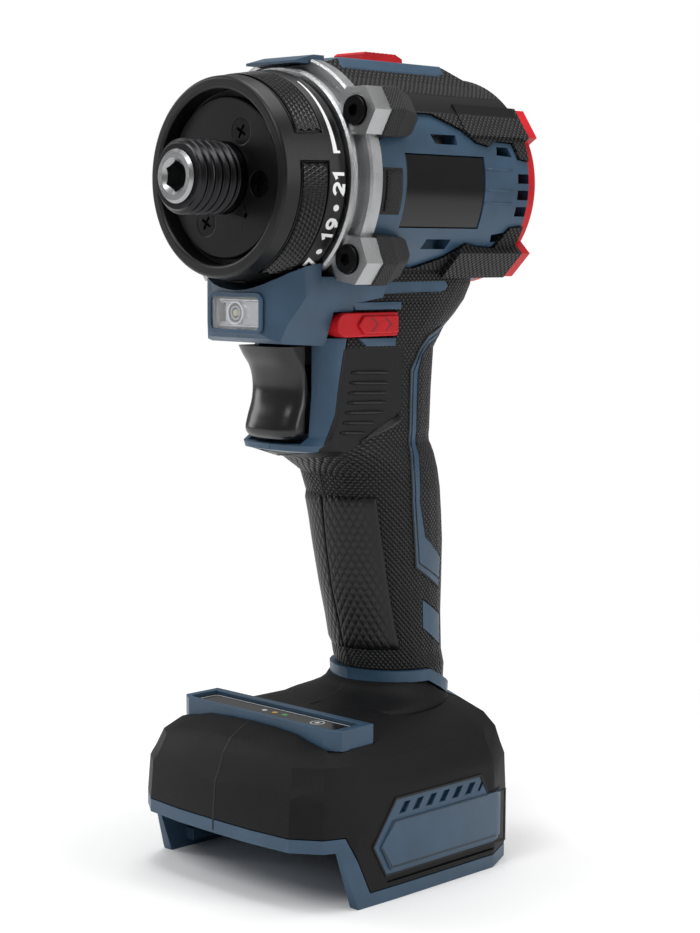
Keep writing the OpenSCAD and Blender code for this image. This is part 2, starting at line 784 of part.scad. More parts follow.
// Room that the case leaves for the chin and the top strip
module housing_room() {
    translate([-chin_top_w - trim_fit, rim_y + case_front - 1, axis_z - 71.2])
        cube([2 * (chin_top_w + trim_fit), 9, 48.4]);
    translate([-strip_half_w - trim_fit, rim_y + case_front - 1, axis_z + tongue_floor - 0.2])
        cube([2 * (strip_half_w + trim_fit), 9, 10]);
}

plate_screw_angles = [60, -7.5, -120, 172.5];
module at_plate_screw(a) {
    translate([0, rim_y + case_face - 0.01, axis_z]) rotate([0, -a, 0]) translate([plate_screw_r, 0, 0])
        rotate([-90, 0, 0]) children();
}

module gearbox_screws() {
    color("#3a3b3d") at_bosses(boss_front - 1) {
        difference() {
            translate([0, 0, 0.1]) cylinder(r = 3.3, h = 2.1, $fn = 32);
            translate([0, 0, -1]) cylinder(r = 1.6, h = 2.4, $fn = 6);
        }
        translate([0, 0, 2.2]) cylinder(r = screw_r + 0.3, h = 12, $fn = 24);
    }
}

module motor_plate() {
    color("#8d9093") difference() {
        turned([
            [bearing_r + seat_fit, plate_rear_front], [tube_r, plate_rear_front], [tube_r, case_rear],
            [bearing_r + 2, case_rear], [bearing_r + 2, front_bearing_at + bearing_w],
            [bearing_r + seat_fit, front_bearing_at + bearing_w],
        ]);
        for (a = [45 : 90 : 315]) bar_at(16, a, 1.6, plate_rear_front - 1, case_rear + 1);
    }
}

// ---------- nose ----------
module front_plate() {
    color("#17181a") difference() {
        turned([
            [land_r + seat_fit, plate_front], [plate_r - 0.4, plate_front], [plate_r, plate_front + 0.4],
            [plate_r, plate_front + plate_t], [land_r + seat_fit, plate_front + plate_t],
        ]);
        for (a = plate_screw_angles) at_plate_screw(a) {
            translate([0, 0, -plate_t - 1]) cylinder(r = screw_r + 0.2, h = plate_t + 2, $fn = 32);
            translate([0, 0, -plate_t - 0.2]) cylinder(r1 = 3.3, r2 = screw_r + 0.2, h = 1.7, $fn = 32);
        }
        bar_at(11.5, -49, 0.6, plate_front - 1, plate_front + plate_t + 1);
    }
}

module front_plate_screws() {
    color("#222325") for (a = plate_screw_angles) at_plate_screw(a) {
        difference() {
            translate([0, 0, -plate_t]) cylinder(r1 = 3.05, r2 = screw_r, h = 1.6, $fn = 32);
            translate([0, 0, -plate_t + 0.3]) cube([3.4, 0.7, 1], center = true);
            translate([0, 0, -plate_t + 0.3]) cube([0.7, 3.4, 1], center = true);
        }
        translate([0, 0, -plate_t + 1.6]) cylinder(r = screw_r, h = 5.6, $fn = 32);
    }
}

// Threaded sleeve round the spindle, made of one turned profile with ridges of the thread's pitch
module nose_thread() {
    nose_front = nose_setback - spindle_out;
    thread_back = nose_front + 0.6 + thread_turns * thread_pitch;
    color("#1e1f21") turned(concat(
        [[spindle_r + run_fit, nose_front], [thread_r - thread_depth - 0.2, nose_front]],
        [for (i = [0 : thread_turns - 1]) each let (y = nose_front + 0.6 + i * thread_pitch) [
            [thread_r - thread_depth, y], [thread_r, y + thread_pitch * 0.3],
            [thread_r, y + thread_pitch * 0.55], [thread_r - thread_depth, y + thread_pitch * 0.85],
        ]],
        [[thread_r - thread_depth, thread_back], [land_r, thread_back + 0.3], [land_r, case_face - seat_fit],
        [spindle_r + run_fit, case_face - seat_fit]]
    ));
}

module spindle_bush() {
    color("#b08d57") turned([
        [spindle_r + run_fit, case_face], [bush_r - seat_fit, case_face], [bush_r - seat_fit, case_face + bush_len],
        [spindle_r + run_fit, case_face + bush_len],
    ]);
}

module output_spindle() {
    color("#c9ccce") difference() {
        union() {
            turned([
                [0, -spindle_out], [spindle_r - 0.7, -spindle_out], [spindle_r, 0.7 - spindle_out],
                [spindle_r, spindle_plate_front], [carrier_r, spindle_plate_front], [carrier_r, spindle_plate_back],
                [0, spindle_plate_back],
            ]);
            for (k = [0 : 2]) bar_at(orbit_r, 120 * k, pin_r, spindle_plate_back - 0.5, front_gears + planet_t);
        }
        translate([0, rim_y - spindle_out - 1, axis_z]) rotate([-90, 0, 0]) rotate(30)
            cylinder(r = socket_af / 2 / cos(30), h = socket_depth + 1, $fn = 6);
        turned([[0, -spindle_out - 0.1], [4.3, -spindle_out - 0.1], [4.3, -spindle_out], [3.3, 1 - spindle_out], [0, 1 - spindle_out]]);
    }
}

// ---------- clutch and collar ----------
module clutch_spring() {
    turns = 4;
    from = case_face + 2.2 + spring_wire;
    to = web_front - clutch_ring_t - 0.4 - spring_wire;
    color("#8f9295") spring_coil(spring_r, spring_wire, from, to, turns);
}

// A coil spring as a swept tube about the spindle axis
module spring_coil(r, wire_r, from, to, turns) {
    n = turns * 20;
    sides = 6;
    pts = [for (i = [0 : n]) for (j = [0 : sides - 1]) let (a = 360 * turns * i / n, b = 360 * j / sides,
        q = r + wire_r * cos(b)) [q * cos(a), rim_y + from + (to - from) * i / n + wire_r * sin(b), axis_z + q * sin(a)]];
    skin = [for (i = [0 : n - 1]) for (j = [0 : sides - 1]) let (k = (j + 1) % sides) each [
        [i * sides + j, (i + 1) * sides + j, (i + 1) * sides + k], [i * sides + j, (i + 1) * sides + k, i * sides + k]]];
    ends = [[for (j = [0 : sides - 1]) j], [for (j = [0 : sides - 1]) n * sides + sides - 1 - j]];
    polyhedron(pts, concat(skin, ends));
}

module clutch_ring() {
    color("#7c7f82") turned([
        [carrier_r + 0.5, web_front - clutch_ring_t], [sleeve_bore - 0.1, web_front - clutch_ring_t],
        [sleeve_bore - 0.1, web_front - seat_fit], [carrier_r + 0.5, web_front - seat_fit],
    ]);
}

module torque_collar() {
    color("#151618") difference() {
        turned([
            [sleeve_r + run_fit, mouth_depth], [mouth_r, mouth_depth], [mouth_r, 0.5], [mouth_r + 0.5, 0],
            [collar_front_r - 0.6, 0], [collar_front_r, 0.6], [collar_back_r - 0.2, collar_len - 3], [collar_back_r, collar_len - 1.6],
            [collar_back_r - 0.4, collar_len], [sleeve_r + run_fit, collar_len],
        ]);
        for (n = [0 : pad_count - 1]) collar_pad(n * 360 / pad_count + pad_start, 0, 0, 4);
    }
    color("#101113") for (n = [0 : pad_count - 1]) collar_pad(n * 360 / pad_count + pad_start, pad_groove, -0.2, pad_depth - 0.25);
}

// The collar's outer radius at a distance behind its rim
function collar_r(y) = collar_front_r + (collar_back_r - 0.2 - collar_front_r) * (y - 0.6) / (collar_len - 3.6);

// One long curved pad: its outline shrunk by the inset, from the recess floor plus low to the floor plus high
module collar_pad(a, inset, low, high) {
    from = pad_front + inset;
    to = pad_front + pad_w - inset;
    half = (360 / pad_count - pad_gap) / 2 - inset * 180 / PI / collar_back_r;
    floor_f = collar_r(from) - pad_depth;
    floor_b = collar_r(to) - pad_depth;
    intersection() {
        turned([[floor_f + low, from], [floor_f + high, from], [floor_b + high, to], [floor_b + low, to]]);
        pulled([[0, 0], each [for (i = [-2 : 2]) [40 * cos(a + half * i / 2), 40 * sin(a + half * i / 2)]]], from - 1, to + 1);
    }
}

// ---------- gears ----------
function inv(x) = tan(x) * 180 / PI - x;
function roll(r, pitch) = let (b = pitch * cos(pressure_angle)) r <= b ? 0 : inv(acos(b / r));
// Half the tooth's angle at radius r on a gear with the given teeth
function half_tooth(r, teeth, lash) =
    let (pitch = gear_mod * teeth / 2) (90 - lash * teeth / 12) / teeth + inv(pressure_angle) - roll(r, pitch);
function gear_outline(teeth, tip, root, lash) = [for (k = [0 : teeth - 1]) for (q = concat(
    [for (r = [root, (root + tip) / 2, tip]) [r, -half_tooth(r, teeth, lash)]],
    [for (r = [tip, (root + tip) / 2, root]) [r, half_tooth(r, teeth, lash)]])) let (a = 360 * k / teeth + q[1])
    [q[0] * cos(a), q[0] * sin(a)]];

module gear_blank(teeth, from, t, bore) {
    p = gear_mod * teeth / 2;
    translate([0, rim_y + from + t, axis_z]) rotate([90, 0, 0]) difference() {
        linear_extrude(height = t) polygon(gear_outline(teeth, p + addendum, p - dedendum, gear_lash * 12));
        translate([0, 0, -1]) cylinder(r = bore, h = t + 2, $fn = 32);
    }
}

module planet(k, from) {
    color("#9a9da0") translate([orbit_r * cos(120 * k), 0, orbit_r * sin(120 * k)])
        translate([0, 0, axis_z]) rotate([0, -120 * k, 0]) translate([0, 0, -axis_z])
            gear_blank(planet_teeth, from, planet_t, pin_r + run_fit);
}

module ring_gear(from, web) {
    outline = gear_outline(ring_teeth, ring_r + dedendum, ring_r - addendum, -gear_lash * 12);
    color("#6f7275") {
        translate([0, rim_y + from + ring_len, axis_z]) rotate([90, 0, 0]) difference() {
            linear_extrude(height = ring_len) circle(r = gear_bore_r - seat_fit, $fn = fine);
            translate([0, 0, -1]) linear_extrude(height = ring_len + 2) rotate(180 / ring_teeth) polygon(ring_space());
        }
        if (web) turned([[carrier_r + 0.5, from], [gear_bore_r - seat_fit, from], [gear_bore_r - seat_fit, from + 0.7],
            [carrier_r + 0.5, from + 0.7]]);
    }
}

// The opening of a ring gear: the teeth stand inward between its spaces
function ring_space() = [for (k = [0 : ring_teeth - 1]) for (q = [
    [ring_r - addendum, -inner_half(ring_r - addendum)], [ring_r, -inner_half(ring_r)],
    [ring_r + dedendum, -inner_half(ring_r + dedendum)], [ring_r + dedendum, inner_half(ring_r + dedendum)],
    [ring_r, inner_half(ring_r)], [ring_r - addendum, inner_half(ring_r - addendum)]])
    let (a = 360 * (k + 0.5) / ring_teeth + q[1]) [q[0] * cos(a), q[0] * sin(a)]];
// Half the angle of a tooth space at radius r
function inner_half(r) = (90 + gear_lash * 12) / ring_teeth + inv(pressure_angle) - roll(r, ring_r);

module ring_gear_front() { ring_gear(web_front, true); }
module ring_gear_rear() { ring_gear(web_front + ring_len + 0.2, false); }

module gear_carrier() {
    color("#8c8f92") {
        difference() {
            bar(carrier_r, carrier_front, carrier_front + carrier_t);
            bar(shaft_r + 0.4, carrier_front + carrier_t - 0.6, carrier_front + carrier_t + 1);
        }
        gear_blank(sun_teeth, front_gears, carrier_front - front_gears + 0.2, 0.8);
        for (k = [0 : 2]) bar_at(orbit_r, 120 * k, pin_r, carrier_front + carrier_t - 0.5, rear_gears + planet_t);
    }
}

module front_planet_a() { planet(0, front_gears); }
module front_planet_b() { planet(1, front_gears); }
module front_planet_c() { planet(2, front_gears); }
module rear_planet_a() { planet(0, rear_gears); }
module rear_planet_b() { planet(1, rear_gears); }
module rear_planet_c() { planet(2, rear_gears); }
gearbox_case();
gearbox_screws();
motor_plate();
front_plate();
front_plate_screws();
nose_thread();
spindle_bush();
output_spindle();
clutch_spring();
clutch_ring();
torque_collar();
ring_gear_front();
ring_gear_rear();
gear_carrier();
front_planet_a();
front_planet_b();
front_planet_c();
rear_planet_a();
rear_planet_b();
rear_planet_c();

// ---------- motor ----------
module motor_stator() {
    slots = 6;
    color("#5c5f62") difference() {
        bar(motor_bore_r - seat_fit, stator_front, stator_front + stator_len);
        bar(rotor_r + air_gap, stator_front - 1, stator_front + stator_len + 1);
        for (k = [0 : slots - 1]) translate([0, rim_y + stator_front - 1, axis_z]) rotate([0, -60 * k - 30, 0])
            translate([rotor_r + air_gap + 1.2, 0, -2.6]) cube([5.4, stator_len + 2, 5.2]);
    }
}

module motor_coils() {
    color("#a8602c") for (k = [0 : 5]) translate([0, rim_y + stator_front - 1.6, axis_z]) rotate([0, -60 * k - 30, 0])
        translate([rotor_r + air_gap + 1.4, 0, -2.4]) cube([5, stator_len + 3.2, 4.8]);
}

module motor_rotor() {
    color("#77797c") {
        bar(rotor_r, stator_front + 0.5, stator_front + stator_len - 0.5);
        bar(shaft_r, rear_gears + planet_t, rear_bearing_at + bearing_w);
        gear_blank(sun_teeth, rear_gears + 0.1, planet_t + 0.2, 0.8);
    }
}

module ball_bearing(at, inner, outer) {
    color("#b9bcbf") {
        turned([[inner, at], [inner + 1.4, at], [inner + 1.4, at + bearing_w], [inner, at + bearing_w]]);
        turned([[outer - 1.4, at], [outer, at], [outer, at + bearing_w], [outer - 1.4, at + bearing_w]]);
        turned([[inner + 1.4, at + 0.4], [outer - 1.4, at + 0.4], [outer - 1.4, at + bearing_w - 0.4], [inner + 1.4, at + bearing_w - 0.4]]);
    }
}
module front_bearing() { ball_bearing(front_bearing_at, shaft_r + seat_fit, bearing_r); }
module rear_bearing() { ball_bearing(rear_bearing_at, shaft_r + seat_fit, bearing_r - 1); }

module cooling_fan() {
    color("#2b2c2e") {
        turned([[shaft_r + seat_fit, fan_at], [fan_r, fan_at], [fan_r, fan_at + 1.2], [5, fan_at + 1.2], [5, fan_at + fan_len - 1],
            [shaft_r + seat_fit, fan_at + fan_len - 1]]);
        for (k = [0 : fan_blades - 1]) translate([0, rim_y + fan_at + 1, axis_z]) rotate([0, -360 * k / fan_blades, 0])
            translate([8, 0, 0]) rotate([0, 25, 0]) translate([0, 0, -0.6]) cube([fan_r - 9.6, fan_len - 2, 1.2]);
    }
}

module rear_cover() {
    color("#c0272f") difference() {
        union() {
            turned([
                [0, barrel_rear + seat_fit], [cover_r, barrel_rear + seat_fit], [cover_r, barrel_rear + cover_t - 1.4],
                [cover_r - 1.6, barrel_rear + cover_t], [0, barrel_rear + cover_t],
            ]);
            bar(motor_bore_r - seat_fit, barrel_rear - 3, barrel_rear + 1);
            bar(bearing_r + 1, rear_bearing_at, barrel_rear + 1);
            for (s = [0, 1]) mirror([s, 0, 0]) for (a = [[34, 27.4, 4.2], [-45, 28.8, 4.2]])
                translate([0, rim_y + barrel_rear + seat_fit, axis_z]) rotate([0, -a[0], 0]) translate([18, 0, -a[2]])
                    cube([a[1] - 18, cover_t - 0.8, 2 * a[2]]);
        }
        difference() {
            bar(motor_bore_r - 1.6, barrel_rear - 4, barrel_rear + 1.4);
            bar(bearing_r + 1, barrel_rear - 6, barrel_rear + 2);
        }
        bar(bearing_r - 1 + seat_fit, rear_bearing_at - 1, rear_bearing_at + bearing_w);
        bar(shaft_r + 0.5, rear_bearing_at - 1, rear_bearing_at + bearing_w + 0.4);
        at_cover_screws() cylinder(r = screw_r + 0.1, h = 20, center = true, $fn = 24);
        at_cover_screws() translate([0, 0, -1]) cylinder(r = 2.8, h = 6, $fn = 24);
        for (z = [-9, -3, 3, 9]) translate([-9, rim_y + barrel_rear + 1.6, axis_z + z - 1.1 ]) cube([18, 6, 2.2]);
    }
}

module at_cover_screws() {
    for (s = [0, 1]) mirror([s, 0, 0]) for (a = [34, -45])
        translate([0, rim_y + barrel_rear + cover_t - 1.4, axis_z])
            rotate([0, -a, 0]) translate([cover_screw_r, 0, 0]) rotate([-90, 0, 0]) children();
}

module rear_cover_screws() {
    color("#333436") at_cover_screws() {
        difference() {
            translate([0, 0, -0.9]) cylinder(r = 2.6, h = 1.6, $fn = 24);
            cylinder(r = 1.2, h = 3, $fn = 6);
        }
    }
}
motor_stator();
motor_coils();
motor_rotor();
front_bearing();
rear_bearing();
cooling_fan();
rear_cover();
rear_cover_screws();

// ---------- lamp ----------
module led_lens() {
    color("#dfe6ea") difference() {
        translate([-lens_half_w, rim_y + lens_front, lens_low]) cube([2 * lens_half_w, lens_t, lens_high - lens_low]);
        translate([1 - lens_half_w, rim_y + lens_front + 0.8, lens_low + 1])
            cube([2 * lens_half_w - 2, lens_t, lens_high - lens_low - 2]);
    }
}

module led_board() {
    color("#2f6b43") translate([-lens_half_w + 0.1, rim_y + 9.1, lens_low + 0.1])
        cube([2 * lens_half_w - 0.2, 1, lens_high - lens_low - 0.2]);
    color("#f4efc4") translate([0, rim_y + 9.2, (lens_low + lens_high) / 2]) rotate([90, 0, 0])
        cylinder(r = 1.6, h = 1.4, $fn = 32);
}

// ---------- controls ----------
// Side view of the trigger: a concave finger face in front
trigger_outline = [
    [12.2, -39.6], [13.4, -41.8], [15.6, -44.2], [17, -47.2], [17.2, -50.8], [16.4, -54.6], [15.2, -58], [14.9, -60.6],
    [16, -62.8], [21, -63], [21, -39.6],
];
module trigger() {
    color("#141415") union() {
        union() {
            intersection() {
                pushed(from_axis(trigger_outline), -trigger_half_w, trigger_half_w);
                translate([0, rim_y, axis_z - 71.2]) linear_extrude(height = 40)
                    polygon([[-trigger_half_w, 30], [-trigger_half_w, 16], [-7.6, 13.4], [-4.6, 12.3], [0, 12.1],
                        [4.6, 12.3], [7.6, 13.4], [trigger_half_w, 16], [trigger_half_w, 30]]);
            }
            translate([-3, rim_y + 20.5, axis_z - 51.2]) cube([6, switch_front - 20.5 + 1.5, 6]);
        }
    }
}

module switch_body() {
    color("#2a2b2d") difference() {
        translate([-10.4, rim_y + switch_front, axis_z - 61.2]) cube([20.8, 17, 21.6]);
        translate([-3 - button_fit, rim_y + switch_front - 1, axis_z - 51.2 - button_fit]) cube([6 + 2 * button_fit, trigger_travel + 3, 6 + 2 * button_fit]);
    }
}

module direction_button() {
    color("#c0272f") difference() {
        intersection() {
            translate([-15.6, rim_y + dir_front, dir_low]) cube([15.6 + dir_out, dir_rear - dir_front, dir_h]);
            translate([0, rim_y, dir_low - 1]) linear_extrude(height = dir_h + 2)
                polygon([[-15.6, dir_rear], [-15.6, dir_front + 3], [-14.6, dir_front + 0.6], [-13, dir_front],
                    [13, dir_front], [15.4, dir_front + 0.5], [16.6, dir_front + 2], [dir_out, dir_front + 5],
                    [dir_out, dir_rear]]);
        }
        for (y = [33.5, 38.5]) translate([dir_out - 0.5, rim_y + y, dir_low + dir_h / 2]) for (m = [-1, 1])
            rotate([45 * m, 0, 0]) translate([0, -2.3, -0.3]) cube([1, 2.6, 0.6]);
    }
}

module speed_selector() {
    color("#c0272f") difference() {
        union() {
            translate([-selector_half_w, rim_y + selector_front, axis_z + selector_floor + seat_fit])
                cube([2 * selector_half_w, selector_len, 1.4]);
            intersection() {
                translate([-selector_half_w + 1.2, rim_y + selector_front + 1, axis_z + selector_floor])
                    cube([2 * selector_half_w - 2.4, selector_len - 2, selector_top - selector_floor]);
                pushed([[selector_front, axis_z + 20], [selector_front + 1, axis_z + selector_top - 0.6],
                    [selector_front + 2, axis_z + selector_top], [selector_front + selector_len - 4, axis_z + selector_top],
                    [selector_front + selector_len - 1.4, axis_z + selector_top - 1], [selector_front + selector_len, axis_z + 20]],
                    -20, 20);
            }
        }
        for (k = [0 : 6]) translate([-10, rim_y + selector_front + 2.6 + k * 1.5, axis_z + selector_top - 0.5]) cube([20, 0.6, 2]);
    }
}

// ---------- base ----------
module frame_pocket() {
    translate([-frame_half_w - trim_fit, rim_y + frame_front - trim_fit, frame_low])
        cube([2 * (frame_half_w + trim_fit), frame_rear - frame_front + 2 * trim_fit, 12]);
}

module frame_block(grow, from, to) {
    translate([0, rim_y, from]) linear_extrude(height = to - from) polygon([
        [-frame_half_w - grow, frame_front + 2.6], [-frame_half_w - grow, frame_rear + grow],
        [frame_half_w + grow, frame_rear + grow], [frame_half_w + grow, frame_front + 2.6],
        [frame_half_w - 4, frame_front - grow], [4 - frame_half_w, frame_front - grow]]);
}

module info_panel_frame() {
    color("#3f5a76") difference() {
        frame_block(0, frame_low + seat_fit, frame_top);
        frame_block(-2.2, frame_top - frame_sink, frame_top + 1);
    }
}

module info_panel_label() {
    color("#1a1b1d") frame_block(-2.3, frame_top - frame_sink + seat_fit, frame_top - frame_sink + 0.6);
}

module control_board() {
    color("#2f6b43") translate([-22.5, rim_y + 23, 22]) cube([45, 38, 1.6]);
    color("#55585b") translate([-20, rim_y + 26, 23.6]) cube([40, 30, 5]);
    color("#2a2b2d") for (x = [-14, 0, 14]) translate([x, rim_y + 34, 28.6]) cylinder(r = 4, h = 3, $fn = 32);
}

module terminal_block() {
    color("#202123") difference() {
        union() {
            translate([-terminal_half_w, rim_y + 30.5, 4.6]) cube([2 * terminal_half_w, 27, 15]);
        }
        for (x = [-8, 0, 8]) translate([x - 0.6, rim_y + 29, 6]) cube([1.2, 22, 10]);
        for (x = [-4, 4]) translate([x - 2, rim_y + 29, 3]) cube([4, 20, 8]);
    }
}

module terminal_blades() {
    color("#c8a24a") for (x = [-8, 0, 8]) translate([x - 0.45, rim_y + 32, 6.2]) cube([0.9, 18.8, 9.6]);
}

module housing_screws() {
    color("#333436") for (s = joint_screws) mirror([1, 0, 0]) translate([s[2], rim_y + s[0], s[1]]) rotate([0, 90, 0]) {
        difference() {
            translate([0, 0, seat_fit]) cylinder(r = screw_head_r, h = screw_head_t, $fn = 32);
            translate([0, 0, 1]) cylinder(r = 1.4, h = 4, $fn = 6);
        }
        translate([0, 0, -s[2] - 6]) cylinder(r = screw_r, h = s[2] + 6 + seat_fit, $fn = 24);
    }
}
led_lens();
led_board();
trigger();
switch_body();
direction_button();
speed_selector();
info_panel_frame();
info_panel_label();
control_board();
terminal_block();
terminal_blades();
housing_screws();
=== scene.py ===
import math

import bmesh
import bpy
from mathutils import Matrix, Vector


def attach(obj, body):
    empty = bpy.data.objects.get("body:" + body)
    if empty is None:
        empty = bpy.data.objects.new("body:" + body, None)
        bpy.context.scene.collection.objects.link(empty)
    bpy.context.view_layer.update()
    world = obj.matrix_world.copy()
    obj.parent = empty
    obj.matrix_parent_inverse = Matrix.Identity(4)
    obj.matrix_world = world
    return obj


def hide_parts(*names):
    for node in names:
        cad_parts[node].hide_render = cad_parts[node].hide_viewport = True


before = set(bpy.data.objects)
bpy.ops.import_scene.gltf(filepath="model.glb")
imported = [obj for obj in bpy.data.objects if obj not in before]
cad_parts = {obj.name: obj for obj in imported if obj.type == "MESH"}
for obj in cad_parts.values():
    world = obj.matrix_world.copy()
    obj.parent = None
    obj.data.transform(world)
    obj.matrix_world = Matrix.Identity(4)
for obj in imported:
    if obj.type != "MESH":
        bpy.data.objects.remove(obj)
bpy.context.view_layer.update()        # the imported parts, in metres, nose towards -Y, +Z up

MM = 0.001
AXIS_Z = 0.1712          # height of the spindle axis, in metres
RIM_Y = -0.0375          # front rim of the torque collar, in metres
FILL = 0.3               # strength of the surroundings as light
MIRRORED = 0.3           # strength of the surroundings in glossy surfaces
BOTH = (1, -1)           # the tool's left side and its mirror image
WELD_M = 2e-6            # points closer than this are one
PACKED_EDGE = 28.0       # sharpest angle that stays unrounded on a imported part
SMALL_EDGE = 35.0        # the same on a small piece
DARKER, LIGHTER = 0.9, 1.12   # mottling of moulded plastic
GROOVE_MM = 0.4          # depth of the lines round the foot's plates

# ---------- finishes ----------


class Field:
    """A value, colour or vector inside a finish; sums on values add Math nodes."""

    def __init__(self, finish, socket):
        self.finish = finish
        self.socket = socket

    def math(self, operation, *others):
        return self.finish.node("Math", {"operation": operation}, dict(enumerate((self,) + others)))

    def __add__(self, other):
        return self.math("ADD", other)

    def __sub__(self, other):
        return self.math("SUBTRACT", other)

    def __rsub__(self, other):
        return self.finish.node("Math", {"operation": "SUBTRACT"}, {0: other, 1: self})

    def __mul__(self, other):
        return self.math("MULTIPLY", other)

    def __pow__(self, other):
        return self.math("POWER", other)

    def __gt__(self, other):
        return self.math("GREATER_THAN", other)

    def __lt__(self, other):
        return self.math("LESS_THAN", other)

    def __abs__(self):
        return self.math("ABSOLUTE")

    __radd__ = __add__

    def sin(self):
        return self.math("SINE")

    def most(self, other):
        return self.math("MAXIMUM", other)

    def rise(self, low, high):
        """0 below low, 1 above high, smooth between."""
        return self.finish.node("MapRange", {"interpolation_type": "SMOOTHSTEP"},
                                {"Value": self, "From Min": low, "From Max": high})

    def band(self, low, high, soft):
        """1 between low and high, 0 outside, with soft ends."""
        return self.rise(low - soft, low + soft) * (1 - self.rise(high - soft, high + soft))


class Graph:
    """A tree of shader nodes."""

    def __init__(self, tree):
        self.tree = tree

    def node(self, kind, settings=None, inputs=None, out=0):
        """Adds one node: its type, its settings, then values or links for its sockets."""
        node = self.tree.nodes.new("ShaderNode" + kind)
        for key, value in (settings or {}).items():
            setattr(node, key, value)
        for key, value in (inputs or {}).items():
            self.join(value, node.inputs[key])
        return Field(self, node.outputs[out])

    def join(self, value, socket):
        """Links a field to a socket, or sets the socket to a plain value."""
        if isinstance(value, Field):
            self.tree.links.new(value.socket, socket)
        else:
            socket.default_value = (*value, 1.0) if socket.type == "RGBA" and len(value) == 3 else value


class Finish(Graph):
    """A material on one Principled shader."""

    def __init__(self, name, **constants):
        self.material = bpy.data.materials.new(name)
        self.material.use_nodes = True
        super().__init__(self.material.node_tree)
        self.shader = self.tree.nodes["Principled BSDF"]
        for socket, value in constants.items():
            self.set(socket.replace("_", " "), value)

    def set(self, name, value):
        self.join(value, self.shader.inputs[name])

    def place(self):
        """x, y, z of the shaded point in millimetres; z is counted from the spindle axis."""
        here = self.node("TexCoord", out="Object")
        split = self.node("SeparateXYZ", {}, {0: here})
        x, y, z = (Field(self, s) for s in split.socket.node.outputs)
        return here, x * 1000, (y - RIM_Y) * 1000, (z - AXIS_Z) * 1000

    def noise(self, where, size_mm, detail=3.0, rough=0.5):
        return self.node("TexNoise", {}, {"Vector": where, "Scale": 1000.0 / size_mm, "Detail": detail,
                                          "Roughness": rough})

    def mix(self, share, first, second):
        return self.node("Mix", {"data_type": "RGBA"}, {0: share, 6: first, 7: second}, out=2)

    def bump(self, height, depth_mm, strength=1.0):
        """height runs from 0 to 1 and stands for depth_mm."""
        return self.node("Bump", {}, {"Strength": strength, "Distance": depth_mm * MM, "Height": height})


def moulded(name, colour, rough, grain=0.05, spec=0.4, lines=None):
    """Injection-moulded plastic: fine spark-eroded grain and a slight mottling; where lines are given, the
    grooves' colour is darkened as painted shade.
    """
    f = Finish(name, Specular_IOR_Level=spec)
    here, x, y, z = f.place()
    cloud = f.noise(here, 9.0, 4.0)
    grains = f.noise(here, 0.32, 2.0, 0.6)
    shade = f.mix(cloud.rise(0.3, 0.7), [c * DARKER for c in colour], [c * LIGHTER for c in colour])
    height, depth = grains, grain
    if lines:
        groove = lines(f, x, y, z)
        # painted shade: the grooves' colour is darkened to 0.35 of the plastic's own
        shade = f.mix(groove, shade, [c * 0.35 for c in colour])
        height, depth = grains * (grain / GROOVE_MM) + 1 - groove, GROOVE_MM
    f.set("Base Color", shade)
    f.set("Roughness", rough + (cloud - 0.5) * 0.12 + (grains - 0.5) * 0.16)
    f.set("Normal", f.bump(height, depth))
    return f.material


def panel_grooves(f, x, y, z):
    """Shallow lines that frame the blank plate on each side of the foot; moulded darkens their colour as
    painted shade.
    """
    height = z + AXIS_Z * 1000
    low, high = y.band(24.0, 66.0, 0.2), y.band(25.2, 58.5, 0.2)
    lines = (abs(height - 8.3) < 0.3) * low
    lines = lines.most((abs(height - 19.4) < 0.3) * high)
    up, down = height - 14.2 - (y - 20.2) * 1.04, height - 14.2 + (y - 20.2) * 1.55
    lines = lines.most((abs(up) < 0.42) * y.band(20.2, 25.2, 0.1))
    lines = lines.most((abs(down) < 0.55) * y.band(20.2, 24.0, 0.1))
    return lines * (abs(x) > 35.8)


def metal(name, colour, rough, grain_mm=0.5, depth=0.02, turned=False):
    """Cast, turned or sintered metal with a fine grain, or lathe rings about the spindle axis."""
    f = Finish(name, Metallic=1.0)
    here, x, y, z = f.place()
    grains = f.noise(here, grain_mm, 3.0, 0.6)
    cloud = f.noise(here, 6.0, 3.0)
    if turned:
        radius = (x * x + z * z) ** 0.5
        grains = ((radius + y) * 18.0).sin() * 0.5 + 0.5
    f.set("Base Color", f.mix(cloud, [c * 0.82 for c in colour], [min(1.0, c * 1.1) for c in colour]))
    f.set("Roughness", rough + (cloud - 0.5) * 0.14 + (grains - 0.5) * 0.1)
    f.set("Normal", f.bump(grains, depth))
    return f.material


def knurl(across, along, pitch, sharp):
    """Raised diamonds, 0 in the grooves and 1 on the crowns."""
    one = abs(((across + along) * (math.pi / pitch)).sin())
    two = abs(((across - along) * (math.pi / pitch)).sin())
    return (one * two) ** sharp


def soft_barrel():
    """Overmould on the barrel: fine diamonds wound round the axis, plain smooth zone above the side panel;
    the crowns are painted lighter as highlight and the grooves darker as painted shade.
    """
    f = Finish("soft overmould barrel", Specular_IOR_Level=0.25)
    here, x, y, z = f.place()
    angle = f.node("Math", {"operation": "ARCTAN2"}, {0: z, 1: abs(x)})
    diamonds = knurl(angle * 27.4, y, 1.55, 0.8)
    plain = z.band(16.6, 21.4, 0.2) * y.band(26.0, 83.0, 0.3) * (abs(x) > 15.0)
    diamonds = diamonds * (1 - plain)
    dust = f.noise(here, 0.4, 2.0)
    # painted highlight on the diamond crowns, painted shade in the grooves
    f.set("Base Color", f.mix(diamonds.rise(0.2, 0.85), (0.0018, 0.0018, 0.002), (0.032, 0.032, 0.033)))
    f.set("Roughness", 0.6 - diamonds * 0.2 - plain * 0.1 + (dust - 0.5) * 0.1)
    f.set("Normal", f.bump(diamonds + dust * 0.08, 0.5))
    return f.material


